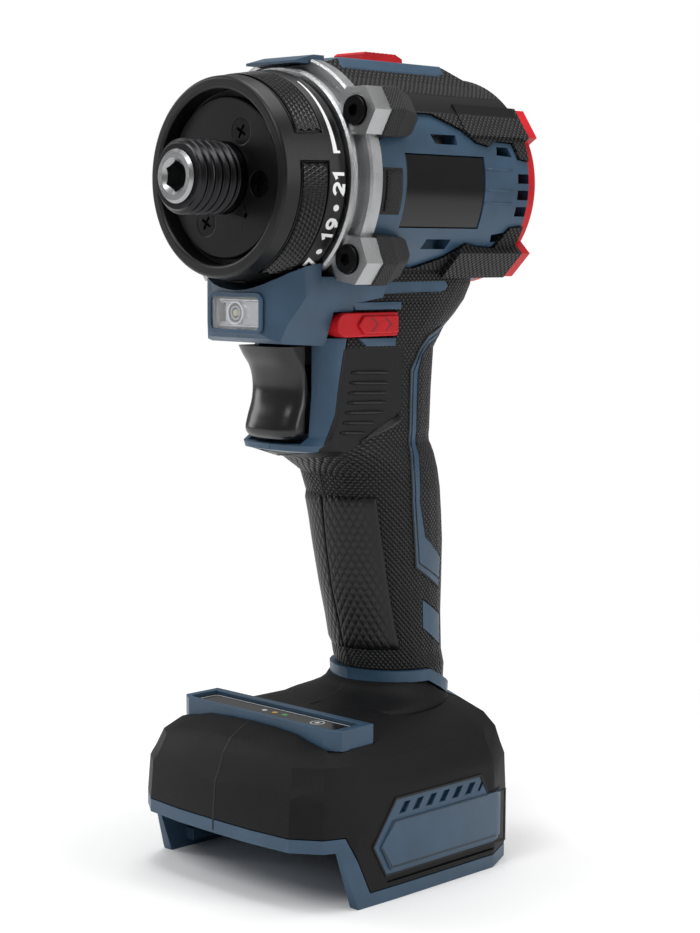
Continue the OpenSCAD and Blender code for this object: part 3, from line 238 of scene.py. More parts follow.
def soft_handle():
    """Overmould on the handle: fine diamonds, plain round the thumb ribs; the crowns are painted lighter as
    highlight and the grooves darker as painted shade.
    """
    f = Finish("soft overmould handle", Specular_IOR_Level=0.3)
    here, x, y, z = f.place()
    height = z + AXIS_Z * 1000
    around = f.node("Math", {"operation": "ARCTAN2"}, {0: x, 1: y - 53.0 - (94.0 - height) * 0.13}) * 16.5
    across = f.node("Mix", {"data_type": "FLOAT"}, {0: height > 116.0, 2: around, 3: y})
    fine = knurl(across, height, 1.5, 0.8)
    plain = ((height - (y - 33.0) * 0.53).rise(107.2, 107.8) * (1 - height.rise(130.6, 131.2))
             * (1 - y.rise(47.7, 48.3)))
    relief = fine * (1 - plain)
    dust = f.noise(here, 0.35, 2.0)
    # painted highlight on the diamond crowns, painted shade in the grooves
    f.set("Base Color", f.mix(relief.rise(0.2, 0.85), (0.0025, 0.0025, 0.0028), (0.019, 0.019, 0.0195)))
    f.set("Roughness", 0.56 - relief * 0.22 + (dust - 0.5) * 0.1)
    f.set("Normal", f.bump(relief + dust * 0.07, 0.5))
    return f.material


def grip_scales():
    """Large soft scales on the raised front panel of the handle, with painted highlight on their crowns and
    painted shade between them.
    """
    f = Finish("grip scales", Specular_IOR_Level=0.35)
    here, x, y, z = f.place()
    scales = knurl(y * 0.5 + abs(x), (z + AXIS_Z * 1000) * 0.58, 2.1, 0.6) * (1 - abs(x).rise(9.0, 12.2))
    dust = f.noise(here, 0.3, 2.0)
    # painted highlight on the scale crowns, painted shade between them
    f.set("Base Color", f.mix(scales, (0.0032, 0.0032, 0.0035), (0.008, 0.008, 0.0085)))
    f.set("Roughness", 0.46 - scales * 0.1 + (dust - 0.5) * 0.1)
    f.set("Normal", f.bump(scales + dust * 0.05, 0.26))
    return f.material


def pebbled(name, pitch, depth):
    """Rubber with a close pebble grain, the pebbles painted lighter as highlight and the hollows darker as
    painted shade.
    """
    f = Finish(name, Specular_IOR_Level=0.3)
    _, _, y, z = f.place()
    pebbles = knurl(y, z, pitch, 0.7)
    # painted highlight on the pebbles, painted shade in the hollows
    f.set("Base Color", f.mix(pebbles, (0.007, 0.007, 0.0075), (0.03, 0.03, 0.031)))
    f.set("Roughness", 0.6 - pebbles * 0.15)
    f.set("Normal", f.bump(pebbles, depth))
    return f.material


def collar_satin():
    """Collar: satin black coating over turned metal."""
    f = Finish("collar black", Specular_IOR_Level=0.3)
    here, _, _, _ = f.place()
    grains = f.noise(here, 0.3, 2.0)
    cloud = f.noise(here, 7.0, 3.0)
    f.set("Base Color", f.mix(cloud, (0.003, 0.003, 0.0033), (0.0055, 0.0055, 0.006)))
    f.set("Roughness", 0.36 + (grains - 0.5) * 0.16 + (cloud - 0.5) * 0.1)
    f.set("Normal", f.bump(grains, 0.02))
    return f.material


def clear(name, tint):
    """Clear plastic with a faint tint."""
    f = Finish(name, Roughness=0.06, IOR=1.49)
    f.shader.inputs["Transmission Weight"].default_value = 0.85
    here, _, _, _ = f.place()
    f.set("Base Color", f.mix(f.noise(here, 3.0), [c * 0.9 for c in tint], tint))
    return f.material


def make_finishes():
    """Every finish by its short name."""
    blue = (0.03, 0.067, 0.113)
    return {
        "blue": moulded("blue housing", blue, 0.4, lines=panel_grooves),
        "barrel": soft_barrel(),
        "handle": soft_handle(),
        "foot": moulded("soft foot", (0.0045, 0.0045, 0.005), 0.54, 0.08, spec=0.18),
        "gloss": moulded("gloss black", (0.004, 0.004, 0.0045), 0.14, 0.004),
        "trigger": moulded("trigger black", (0.004, 0.004, 0.0045), 0.22, 0.006, spec=0.5),
        "satin": moulded("satin black", (0.0025, 0.0025, 0.0028), 0.34, 0.02, spec=0.22),
        "collar": collar_satin(),
        "cast": metal("die cast", (0.42, 0.425, 0.43), 0.32, 0.5, 0.16),
        "black_steel": metal("blackened steel", (0.03, 0.03, 0.032), 0.28, 0.4, 0.01, True),
        "bright": metal("turned steel", (0.62, 0.63, 0.64), 0.24, 0.4, 0.008, True),
        "sintered": metal("sintered steel", (0.36, 0.36, 0.37), 0.42),
        "bronze": metal("bronze", (0.6, 0.42, 0.2), 0.35),
        "copper": metal("enamelled copper", (0.55, 0.2, 0.08), 0.3),
        "red": moulded("red trim", (0.5, 0.008, 0.014), 0.42, 0.03, spec=0.25),
        "dark": moulded("dark plastic", (0.012, 0.012, 0.013), 0.55, 0.05),
        "lens": clear("clear lens", (0.97, 0.98, 1.0)),
        "board": moulded("circuit board", (0.02, 0.12, 0.05), 0.4),
        # painted shade: darker red that stands for the shade in the engraved arrows
        "dark_red": moulded("engraving shade red", (0.2, 0.006, 0.01), 0.5, 0.02),
        "spindle": metal("spindle steel", (0.36, 0.365, 0.37), 0.28, 0.4, 0.008, True),
        "print": moulded("dial print", (0.78, 0.78, 0.78), 0.5, 0.01),
        "line": moulded("shadow line", (0.0025, 0.0025, 0.003), 0.6, 0.02),
        "scales": grip_scales(),
        "knurl": moulded("collar pads", (0.008, 0.008, 0.0085), 0.3, 0.01, spec=0.5),
        "rubber": moulded("smooth rubber", (0.005, 0.005, 0.0055), 0.42, 0.03, spec=0.35),
        "pebble": pebbled("pebbled rubber", 0.85, 0.25),
        "diode": moulded("diode", (0.75, 0.7, 0.42), 0.3, 0.01),
        "thin_print": moulded("panel print", (0.5, 0.51, 0.52), 0.5, 0.01),
        "white_light": moulded("white window", (0.6, 0.62, 0.62), 0.25, 0.01),
        "amber_light": moulded("amber window", (0.6, 0.34, 0.03), 0.25, 0.01),
        "green_light": moulded("green window", (0.06, 0.4, 0.1), 0.25, 0.01),
    }


NODE_FINISH = {
    "blue": "housing_left housing_right info_panel_frame",
    "barrel": "barrel_grip_left barrel_grip_right",
    "handle": "handle_grip_left handle_grip_right",
    "foot": "base_grip_left base_grip_right",
    "gloss": "side_plate_left side_plate_right info_panel_label",
    "trigger": "trigger",
    "satin": "front_plate",
    "collar": "torque_collar",
    "cast": "gearbox_case motor_plate",
    "black_steel": "gearbox_screws rear_cover_screws front_plate_screws nose_thread housing_screws",
    "spindle": "output_spindle",
    "bright": "clutch_spring clutch_ring front_bearing rear_bearing",
    "sintered": "ring_gear_front ring_gear_rear gear_carrier front_planet_a front_planet_b front_planet_c "
                "rear_planet_a rear_planet_b rear_planet_c motor_stator motor_rotor",
    "bronze": "spindle_bush terminal_blades",
    "copper": "motor_coils",
    "red": "rear_cover direction_button speed_selector",
    "dark": "cooling_fan switch_body terminal_block",
    "lens": "led_lens",
    "board": "led_board control_board",
}

SOFT_EDGE = {"housing_left": 0.5, "housing_right": 0.5, "base_grip_left": 0.5, "base_grip_right": 0.5,
             "trigger": 1.0, "torque_collar": 0.3, "gearbox_case": 0.35, "rear_cover": 0.5}


def dress(node, material, radius_mm):
    """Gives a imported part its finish, joins its split edges and rounds its sharp ones."""
    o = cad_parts[node]
    o.data.materials.clear()
    o.data.materials.append(material)
    if "custom_normal" in o.data.attributes:
        o.data.attributes.remove(o.data.attributes["custom_normal"])
    for poly in o.data.polygons:
        poly.use_smooth = True
    weld = o.modifiers.new("join", "WELD")
    weld.merge_threshold = WELD_M
    soften(o, radius_mm, PACKED_EDGE)


def soften(o, radius_mm, angle):
    """Rounds the edges that are sharper than the angle."""
    bevel = o.modifiers.new("round", "BEVEL")
    bevel.width = radius_mm * MM
    bevel.segments = 2
    bevel.limit_method = "ANGLE"
    bevel.angle_limit = math.radians(angle)
    bevel.use_clamp_overlap = True
    bevel.harden_normals = True


# ---------- surfaces that the small pieces lie on ----------
# Each turns two coordinates and a height above the surface into a point: x from the middle,
# y behind the collar's rim, z above the ground, all in millimetres.

AXIS = AXIS_Z / MM
COLLAR_R = 25.6          # collar where its scale begins
COLLAR_RIM_R = 23.5      # collar at its front rim
RIM_END, SCALE_START = 0.6, 14.8   # ends of the collar's cone
SCALE_LEN, SCALE_RISE = 1.4, 0.2   # band of the scale, and what it widens by
BOSS_TURN = 30           # corner of a boss hexagon, from the line to the axis
RIDGE_TOP, RIDGE_HALF, STRIP_HALF = 29.4, 13.5, 8.6   # flat ridge on the barrel and the blue strip on it
SHOULDER = 6.5           # drop of the ridge's sloping side
PANEL_R = 26.6           # blue panel on the barrel's side
FLOOR = -0.2             # how far thin pieces reach below their surface
DISC_STEPS = 20
# height, front, back, half width, fullness of the front, fullness of the back
HANDLE = [
    (48, 46.3, 73, 14.5, 1.9, 2.4), (51.5, 44.6, 73, 13.6, 1.9, 2.4), (61, 42.2, 73, 13.5, 1.9, 2.4),
    (69.5, 39.6, 73.5, 13.5, 1.9, 2.4), (80, 37.6, 73, 14.6, 1.9, 2.4), (87, 36.6, 72, 15.3, 1.9, 2.4),
    (94, 35.7, 70.8, 16, 2, 2.4), (99, 34.4, 69.8, 16, 2.2, 2.4), (103, 28.5, 69, 15.8, 2.6, 2.4),
    (105, 22.5, 68.6, 15.6, 3.2, 2.4), (106.2, 17.4, 68.4, 15.4, 3.8, 2.4),
    (107.6, 17.4, 68.2, 15.4, 4.2, 2.4),
    (109.5, 21, 68, 15.5, 4.5, 2.4), (120, 22, 68.3, 15.6, 4.5, 2.4), (130, 22, 69, 15.8, 4.5, 2.4),
    (135, 22, 72.8, 16, 4.5, 2.4), (146, 22, 84, 16.3, 4.5, 2.4),
]


def on_collar(along, y, height):
    """along is counted round the collar from the tool's left side upward."""
    if y < SCALE_START:
        radius = COLLAR_RIM_R + (COLLAR_R - COLLAR_RIM_R) * (y - RIM_END) / (SCALE_START - RIM_END)
    else:
        radius = COLLAR_R + SCALE_RISE * (y - SCALE_START) / SCALE_LEN
    turn = along / COLLAR_R
    return (radius + height) * math.cos(turn), y, AXIS + (radius + height) * math.sin(turn)


def on_panel(y, z, height):
    """The round side panel of the barrel."""
    radius = PANEL_R + height
    return math.sqrt(max(radius ** 2 - (z - AXIS) ** 2, 0.0)), y, z


def handle_section(z):
    """The handle's section at a height, read between the rows of the table."""
    for low, high in zip(HANDLE, HANDLE[1:]):
        if z <= high[0]:
            share = (z - low[0]) / (high[0] - low[0])
            return [a + (b - a) * share for a, b in zip(low, high)]
    return HANDLE[-1]


def on_handle(y, z, height):
    """The left side of the handle."""
    _, front, back, half, lead, tail = handle_section(z)
    middle, depth = (front + back) / 2, (back - front) / 2 + height
    full = lead if y < middle else tail
    rest = max(1 - abs((y - middle) / depth) ** full, 0.0)
    return (half + height) * rest ** (1 / full), y, z


def round_handle(turn, z, height):
    """turn is 0 at the front of the handle and 90 degrees at its side."""
    _, front, back, half, lead, tail = handle_section(z)
    c, s = math.cos(math.radians(turn)), math.sin(math.radians(turn))
    full = lead if c > 0 else tail
    x = (half + height) * abs(s) ** (2 / full) * (1 if s > 0 else -1)
    reach = ((back - front) / 2 + height) * abs(c) ** (2 / full) * (1 if c > 0 else -1)
    return x, (front + back) / 2 - reach, z


def on_front(y):
    """The upright face at y; u is x and v is z."""
    return lambda u, v, height: (u, y - height, v)


def on_top(z):
    """The level face at z; u is x and v is y."""
    return lambda u, v, height: (u, v, z + height)


def on_side(x):
    """The upright face at x; u is y and v is z."""
    return lambda u, v, height: (x + height, u, v)


class Piece:
    """Points and faces of one piece, gathered part by part on a surface or from ready points."""

    def __init__(self, surface=None):
        self.surface = surface
        self.points = []
        self.faces = []

    def sheet(self, rows, floor, closed=False):
        """A closed skin over rows of (u, v, height), down to a flat floor."""
        first, count, across = len(self.points), len(rows), len(rows[0])
        self.points += [self.surface(*p) for row in rows for p in row]
        self.points += [self.surface(u, v, floor) for row in rows for u, v, _ in row]
        under = count * across

        def spot(i, j, low=0):
            return first + low * under + (i % count) * across + j

        for i in range(count if closed else count - 1):
            for j in range(across - 1):
                ring = [(i, j), (i + 1, j), (i + 1, j + 1), (i, j + 1)]
                self.faces.append([spot(*q) for q in ring])
                self.faces.append([spot(*q, 1) for q in reversed(ring)])
            for j, turn in ((0, 1), (across - 1, -1)):
                self.faces.append([spot(i, j), spot(i, j, 1), spot(i + 1, j, 1), spot(i + 1, j)][::turn])
        if not closed:
            for i, turn in ((0, -1), (count - 1, 1)):
                for j in range(across - 1):
                    self.faces.append([spot(i, j), spot(i, j, 1), spot(i, j + 1, 1), spot(i, j + 1)][::turn])
        return self

    def ribbon(self, path, width, tall, floor=FLOOR, closed=False, crown=False):
        """A strip of the given width along a path, flat on top or crowned."""
        rows = []
        last = len(path) - 1
        for i, (u, v) in enumerate(path):
            before = path[i - 1] if i or closed else path[i]
            after = path[(i + 1) % len(path)] if i < last or closed else path[i]
            legs = []
            for a, b in ((before, (u, v)), ((u, v), after)):
                run = math.hypot(b[0] - a[0], b[1] - a[1])
                if run > 1e-9:
                    legs.append(((b[1] - a[1]) / run, (a[0] - b[0]) / run))
            side = (sum(q[0] for q in legs) / len(legs), sum(q[1] for q in legs) / len(legs))
            size = side[0] ** 2 + side[1] ** 2
            half = (width[i] if isinstance(width, (list, tuple)) else width) / 2 / max(size, 0.25)
            shape = ((-1, 0), (-0.6, 0.8), (0, 1), (0.6, 0.8), (1, 0)) if crown else ((-1, 1), (1, 1))
            rows.append([(u + side[0] * half * s, v + side[1] * half * s, tall * h) for s, h in shape])
        return self.sheet(rows, floor, closed)

    def patch(self, a, b, c, d, steps, tall, floor=-0.3, edge=0.25):
        """A slab on the four-cornered patch a b c d, with its edges eased down."""
        rows = []
        for i in range(steps[0] + 1):
            row = []
            for j in range(steps[1] + 1):
                s, t = i / steps[0], j / steps[1]
                u, v = (((1 - s) * (1 - t) * a[k] + s * (1 - t) * b[k] + s * t * c[k] + (1 - s) * t * d[k])
                        for k in (0, 1))
                eased = 1 - edge if i in (0, steps[0]) or j in (0, steps[1]) else 1
                row.append((u, v, tall * eased))
            rows.append(row)
        return self.sheet(rows, floor)

    def loft(self, rings):
        """A closed skin through rings of ready points, with a face on the first and on the last."""
        first, count = len(self.points), len(rings[0])
        last = first + (len(rings) - 1) * count
        self.points += [point for ring in rings for point in ring]
        for start in range(first, last, count):
            for k in range(count):
                a, b = start + k, start + (k + 1) % count
                self.faces.append([a, b, b + count, a + count])
        self.faces += [list(range(first, first + count)), list(range(last + count - 1, last - 1, -1))]
        return self

    def disc(self, u, v, radius, tall):
        """A round button that stands on the surface."""
        first = len(self.points)
        ring = circle(u, v, radius, DISC_STEPS)
        for height in (tall, FLOOR):
            self.points += [self.surface(*corner, height) for corner in ring]
        self.faces.append([first + k for k in range(DISC_STEPS)])
        self.faces.append([first + DISC_STEPS + k for k in reversed(range(DISC_STEPS))])
        for k in range(DISC_STEPS):
            n = (k + 1) % DISC_STEPS
            self.faces.append([first + n, first + k, first + DISC_STEPS + k, first + DISC_STEPS + n])
        return self

    def done(self, name, material, body="housing", slot="soft_black", sides=(1,), soft=0.0, smooth=False):
        """Makes the piece on one side of the tool or, mirrored, on both."""
        points, faces = [], []
        for side in sides:
            start = len(points)
            points += [(side * x * MM, RIM_Y + y * MM, z * MM) for x, y, z in self.points]
            faces += [[start + k for k in (face if side > 0 else face[::-1])] for face in self.faces]
        mesh = bpy.data.meshes.new(name)
        mesh.from_pydata(points, [], faces)
        mesh.materials.append(material)
        work = bmesh.new()
        work.from_mesh(mesh)
        bmesh.ops.remove_doubles(work, verts=work.verts, dist=1e-7)
        bmesh.ops.recalc_face_normals(work, faces=work.faces)
        work.to_mesh(mesh)
        work.free()
        for poly in mesh.polygons:
            poly.use_smooth = smooth
        o = bpy.data.objects.new(name, mesh)
        bpy.context.scene.collection.objects.link(o)
        if soft:
            soften(o, soft, SMALL_EDGE)
        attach(o, body)
        return o


def curve(cx, cy, rx, ry, start, stop, steps=12):
    """Points along an oval from the start angle to the stop angle, in degrees."""
    turns = [math.radians(start + (stop - start) * k / steps) for k in range(steps + 1)]
    return [(cx + rx * math.cos(turn), cy + ry * math.sin(turn)) for turn in turns]


def circle(u, v, radius, steps=28):
    """Corners of a closed circle."""
    return curve(u, v, radius, radius, 0, 360, steps)[:-1]


def rounded(u0, v0, u1, v1, r, steps=5):
    """Outline of a rectangle with round corners."""
    return (curve(u1 - r, v1 - r, r, r, 0, 90, steps) + curve(u0 + r, v1 - r, r, r, 90, 180, steps)
            + curve(u0 + r, v0 + r, r, r, 180, 270, steps) + curve(u1 - r, v0 + r, r, r, 270, 360, steps))


# ---------- torque collar ----------

DIGIT_W, DIGIT_H, STROKE = 2.3, 3.5, 0.78
DIGIT_FOOT = 17.0        # where the digits end behind the rim
PRINTED = 0.05           # thickness of the print
DOT_AT, DOT_R = 15.2, 0.78
SWEEP_FROM, SWEEP_TO, SWEEP_AT = 13, 63, 14.6   # the white sweep: its angles and its place
DIGITS = {
    "1": [[(0.1, 0.76), (0.6, 1.0), (0.6, 0.0)]],
    "2": [curve(0.5, 0.72, 0.5, 0.28, 175, -25) + [(0.0, 0.02), (1.0, 0.02)]],
    "3": [curve(0.45, 0.75, 0.45, 0.25, 160, -85), curve(0.45, 0.26, 0.52, 0.26, 85, -160)],
    "5": [[(0.92, 1.0), (0.12, 1.0), (0.08, 0.52)] + curve(0.45, 0.31, 0.52, 0.31, 120, -150)],
    "7": [[(0.0, 1.0), (1.0, 1.0), (0.35, 0.0)]],
    "9": [curve(0.5, 0.69, 0.47, 0.31, 0, 360), [(0.97, 0.69), (0.9, 0.35), (0.6, 0.1), (0.2, 0.02)]],
}
TOP_NUMBER, NUMBER_STEP, NUMBER_START = 21, 12.9, -3.0   # highest number, degrees apart, its place


def fine_path(path, longest=0.5):
    """Splits long legs, so that a strip follows a round surface."""
    out = [path[0]]
    for a, b in zip(path, path[1:]):
        n = max(1, math.ceil(math.hypot(b[0] - a[0], b[1] - a[1]) / longest))
        out += [(a[0] + (b[0] - a[0]) * k / n, a[1] + (b[1] - a[1]) * k / n) for k in range(1, n + 1)]
    return out


def collar_scale(print_white):
    """Odd numbers with dots between, and the white sweep from the lowest setting to the highest."""
    marks = Piece(on_collar)
    mm_per_degree = COLLAR_R * math.pi / 180
    for number in range(1, TOP_NUMBER + 1):
        middle = (NUMBER_START - NUMBER_STEP * (TOP_NUMBER - number)) * mm_per_degree
        if number % 2 == 0:
            marks.disc(middle, DOT_AT, DOT_R, PRINTED)
            continue
        text = str(number)
        pitch = DIGIT_W + STROKE + 0.1
        for k, digit in enumerate(text):
            left = middle + (k - len(text) / 2) * pitch + 0.3
            for stroke in DIGITS[digit]:
                path = [(left + STROKE / 2 + u * DIGIT_W, DIGIT_FOOT - STROKE / 2 - v * (DIGIT_H - STROKE))
                        for u, v in stroke]
                marks.ribbon(fine_path(path), STROKE, PRINTED)
    sweep = [(degrees * mm_per_degree, SWEEP_AT) for degrees in range(SWEEP_FROM, SWEEP_TO, 2)]
    marks.ribbon(sweep, [1.15 - 0.85 * k / (len(sweep) - 1) for k in range(len(sweep))], PRINTED)
    end = SWEEP_FROM * mm_per_degree
    marks.ribbon([(end, 14.05), (end, 15.9)], 0.6, PRINTED)
    marks.done("collar_scale", print_white, "collar", "satin_black")


def collar_knurls(material):
    """Three-cornered pits between ridges on the four long pads."""
    knurls = Piece(on_collar)
    first, last, columns, rows = 5.25, 11.85, 26, 6
    proud, deep = 0.08, 0.34
    half = 36.0 * math.pi / 180 * COLLAR_R
    for pad in range(4):
        middle = (61 + 90 * pad) * math.pi / 180 * COLLAR_R
        tall = (last - first) / rows
        wide = 2 * half / columns
        grid = len(knurls.points)
        for r in range(rows + 1):
            shift = 0.5 * wide * (r % 2)
            for c in range(columns + 1):
                u = min(max(-half + c * wide + shift, -half), half)
                knurls.points.append(on_collar(middle + u, first + r * tall, proud))
        for r in range(rows):
            for c in range(columns):
                a, b = grid + r * (columns + 1) + c, grid + r * (columns + 1) + c + 1
                d, e = a + columns + 1, b + columns + 1
                pairs = [(a, b, d), (b, e, d)] if r % 2 == 0 else [(a, b, e), (a, e, d)]
                for corners in pairs:
                    pit = [sum(knurls.points[k][axis] for k in corners) / 3 for axis in range(3)]
                    inward = deep / math.hypot(pit[0], pit[2] - AXIS)
                    pit[0] -= pit[0] * inward
                    pit[2] -= (pit[2] - AXIS) * inward
                    knurls.points.append(tuple(pit))
                    centre = len(knurls.points) - 1
                    knurls.faces += [[corners[k], corners[(k + 1) % 3], centre] for k in range(3)]
    knurls.done("collar_knurls", material, "collar", "satin_black")


# ---------- head ----------

def side_details(rubber, blue, dark):
    """Rubber pad before the side plate over a dark sheet of painted shadow, thin ribs before the rear slots.
    """
    # painted shadow: a dark sheet, larger than the pad, stands in for the shadow round it
    pad_shadow_sheet = Piece(on_panel)
    pad_shadow_sheet.patch((28.9, 162.9), (35.6, 162.9), (35.6, 173.9), (28.9, 173.9), (4, 10), 0.08, edge=0)
    pad_shadow_sheet.done("side_pad_painted_shadow", dark, slot="dark_plastic", sides=BOTH)
    pad = Piece(on_panel)
    pad.patch((30.0, 163.6), (35.4, 163.6), (35.4, 173.3), (30.0, 173.3), (6, 12), 0.7, edge=0.35)
    pad.done("side_pad", rubber, sides=BOTH, soft=0.2)
    ribs = Piece(on_panel)
    for z in (174.6, 169.4, 166.3):
        ribs.ribbon([(65.8, z), (69, z), (73, z), (76.2, z)], 0.5, 0.22, crown=True)
    for z, ends in ((186.0, (39.0, 45.5)), (153.4, (37.5, 44.0))):
        ribs.ribbon([(ends[0], z), (ends[1], z)], 0.5, 0.2, crown=True)
    ribs.done("side_panel_ribs", blue, slot="blue_plastic", sides=BOTH, smooth=True)


def lamp_details(blue, chrome, glow, dark):
    """Raised frame round the lens, and the reflector with its diode behind it; a dark disc of painted shade
    round the diode and a dark patch of painted shade for the slot beside it.
    """
    frame_path = rounded(-8.9, 135.1, 8.9, 143.9, 1.6)
    Piece(on_front(6.3)).ribbon(frame_path, 1.1, 0.45, closed=True).done(
        "lamp_frame", blue, slot="blue_plastic", soft=0.15)
    lamp = Piece(on_front(7.7))
    lamp.ribbon(circle(-0.7, 139.5, 2.6), 0.5, 0.55, closed=True)
    lamp.ribbon(circle(-0.7, 139.5, 1.5, 24), 0.4, 0.45, closed=True)
    lamp.done("lamp_reflector", chrome, slot="bright_steel")
    bowl = Piece(on_front(8.0))
    bowl.patch((-7.4, 136.3), (7.6, 136.3), (7.6, 142.7), (-7.4, 142.7), (2, 2), 0.15, 0.0)
    bowl.done("lamp_bowl", chrome, slot="bright_steel")
    # painted shade: dark disc for the well round the diode
    Piece(on_front(7.9)).disc(-0.7, 139.5, 2.4, 0.15).done("lamp_well", dark, slot="dark_plastic")
    Piece(on_front(7.8)).disc(-0.7, 139.5, 0.8, 0.5).done("lamp_diode", glow, slot="clear_lens")
    # painted shade: dark patch for the slot at the left of the lens
    Piece(on_front(7.8)).patch((-6.4, 137.3), (-5.1, 137.3), (-5.1, 141.8), (-6.4, 141.8), (2, 4), 0.4).done(
        "lamp_slot", dark, slot="dark_plastic")


# ---------- handle ----------

def rib_field(rubber):
    """Seven thumb ribs and the fold below them on each side of the handle."""
    left = [(30.3, 125.1), (30.0, 122.6), (29.6, 120.1), (29.3, 117.8), (28.6, 115.4), (28.1, 113.0),
            (27.4, 110.6)]
    right = [(42.6, 124.7), (42.6, 122.1), (42.1, 119.7), (42.1, 117.4), (41.0, 115.0), (38.0, 112.5),
             (34.8, 110.2)]
    ribs = Piece(on_handle)
    for (a, za), (b, zb) in zip(left, right):
        ribs.ribbon([(a + (b - a) * k / 6, za + (zb - za) * k / 6) for k in range(7)],
                    [0.5, 0.95, 0.95, 0.95, 0.95, 0.95, 0.5], 0.5, crown=True)
    ribs.done("thumb_ribs", rubber, sides=BOTH, smooth=True)
    fold = [(33.2, 108.1), (36.0, 109.0), (38.6, 110.0), (41.4, 110.9), (44.2, 111.9), (47.3, 113.1)]
    Piece(on_handle).ribbon(fold, [0.2, 0.9, 1.5, 2.0, 2.3, 2.2], 0.45, crown=True).done(
        "thumb_fold", rubber, sides=BOTH, smooth=True)


def grip_panel(material):
    """Raised panel round the front of the handle, in two halves either side of the seam."""
    panel = Piece(round_handle)
    steps, low, high = 22, 53.6, 93.6
    for side in (1, -1):
        rows = []
        for k in range(steps + 1):
            z = low + (high - low) * k / steps
            _, front, back, half, lead, tail = handle_section(z)
            middle, depth = (front + back) / 2, (back - front) / 2
            edge = 42.3 + (93.1 - z) * 0.241
            widest = math.degrees(math.acos(((middle - edge) / depth) ** (lead / 2)))
            ends = (1.4, *(widest * n / 14 for n in range(1, 14)), widest - 0.6, widest)
            row = []
            for n, turn in enumerate(ends):
                tall = 0.0 if n == len(ends) - 1 or k in (0, steps) else 0.55
                row.append((side * turn, z, tall))
            rows.append(row)
        panel.sheet(rows, -0.3)
    panel.done("grip_panel", material, smooth=True)


def seams(dark):
    """The parting line of the two housing halves down the front, drawn as a dark strip of painted shadow."""
    base_front = [(45.4, 45.2), (43.8, 43.8), (41.0, 42.5), (36.5, 41.5), (30.0, 40.9), (27.0, 40.8)]
    lower_front = [(12.0, 39.9), (9.0, 39.2), (4.8, 36.9), (2.3, 33.8), (0.8, 29.6), (-0.4, 27.0),
                   (-1.1, 18.0), (-1.1, 15.2)]
    grip_front = [(s[1], s[0]) for s in HANDLE[:8]]
    half, sunk, proud = 0.28, -0.3, 0.04
    section = ((-half, sunk), (-half, proud), (half, proud), (half, sunk))
    line = Piece()
    for path in (base_front, lower_front, grip_front[::-1]):
        for (y0, z0), (y1, z1) in zip(path, path[1:]):
            run = math.hypot(y1 - y0, z1 - z0)
            ny, nz = (z1 - z0) / run, (y0 - y1) / run
            if ny > 0 or (abs(ny) < 0.2 and nz < 0):
                ny, nz = -ny, -nz
            line.loft([[(x, y + ny * depth, z + nz * depth) for x, depth in section]
                       for y, z in ((y0, z0), (y1, z1))])
    # painted shadow in the gap between the halves
    line.done("parting_line", dark, slot="dark_plastic")


def smooth_value(points, at_z):
    """Value on a smooth line through (z, value) points."""
    last = len(points) - 1
    slopes = []
    for k in range(len(points)):
        (z0, a), (z1, b) = points[max(k - 1, 0)], points[min(k + 1, last)]
        slopes.append((b - a) / (z1 - z0))
    for k, ((z0, a), (z1, b)) in enumerate(zip(points, points[1:])):
        if at_z <= z1:
            run = z1 - z0
            t = max(0.0, (at_z - z0) / run)
            return (a * (1 + 2 * t) * (1 - t) ** 2 + b * t * t * (3 - 2 * t)
                    + slopes[k] * run * t * (1 - t) ** 2 + slopes[k + 1] * run * t * t * (t - 1))
    return points[-1][1]


def finger_trigger(material):
    """Scooped trigger with a rounded nose and eased ends."""
    bottom, top, back, levels, around = 108.5, 131.4, 20.9, 46, 24
    nose = [(bottom, 17.4), (109.2, 15.8), (111.0, 14.8), (114.0, 15.5), (118.0, 16.9), (122.0, 17.2),
            (126.0, 16.2), (129.0, 14.0), (131.5, 12.4)]
    half = [(bottom, 7.2), (109.4, 8.3), (111.5, 8.7), (top, 8.7)]
    rows = []
    for k in range(levels + 1):
        z = bottom + (top - bottom) * k / levels
        front, w = smooth_value(nose, z), smooth_value(half, z)
        row = [(w, back, z)]
        for step in range(around + 1):
            turn = math.radians(90 - 180 * step / around)
            side = abs(math.sin(turn)) ** 0.72 * (1 if turn > 0 else -1)
            row.append((w * side, front + 4.6 * (1 - abs(math.cos(turn)) ** 0.8), z))
        rows.append(row + [(-w, back, z)])
    body = Piece().loft(rows)
    o = body.done("finger_trigger", material, "trigger", "gloss_black", smooth=True, soft=0.5)
    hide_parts("trigger")


def direction_slider(red, dark_red):
    """Bullet-shaped push bar with a raised pad and two arrows on the left side, the arrows painted darker red
    as the shade in their engraving.
    """
    low, high = AXIS - 37.6, AXIS - 31.7
    middle = (low + high) / 2
    tip = curve(24.4 + 2.9, middle, 2.9, (high - low) / 2, 90, 270, 12)
    outline = tip + [(45.3, low), (45.3, high)]
    pad = [(32.6, low + 0.75), (30.8, middle), (32.6, high - 0.75), (44.7, high - 0.75), (44.7, low + 0.75)]
    bar = Piece()
    for shape, back, face in ((outline, -15.6, 16.5), (pad, 15.0, 17.4)):
        bar.loft([[(x, y, z) for y, z in shape] for x in (back, face)])
    o = bar.done("direction_slider", red, "direction", "red_plastic", soft=0.45)
    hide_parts("direction_button")
    # painted shade: flat arrows in darker red instead of an engraving
    arrows = Piece(on_side(17.41))
    for y in (35.2, 39.8):
        arrows.ribbon([(y, middle + 1.7), (y + 2.0, middle), (y, middle - 1.7)], 0.5, 0.0, -0.1)
    arrows.done("direction_arrows", dark_red, "direction", "red_plastic")


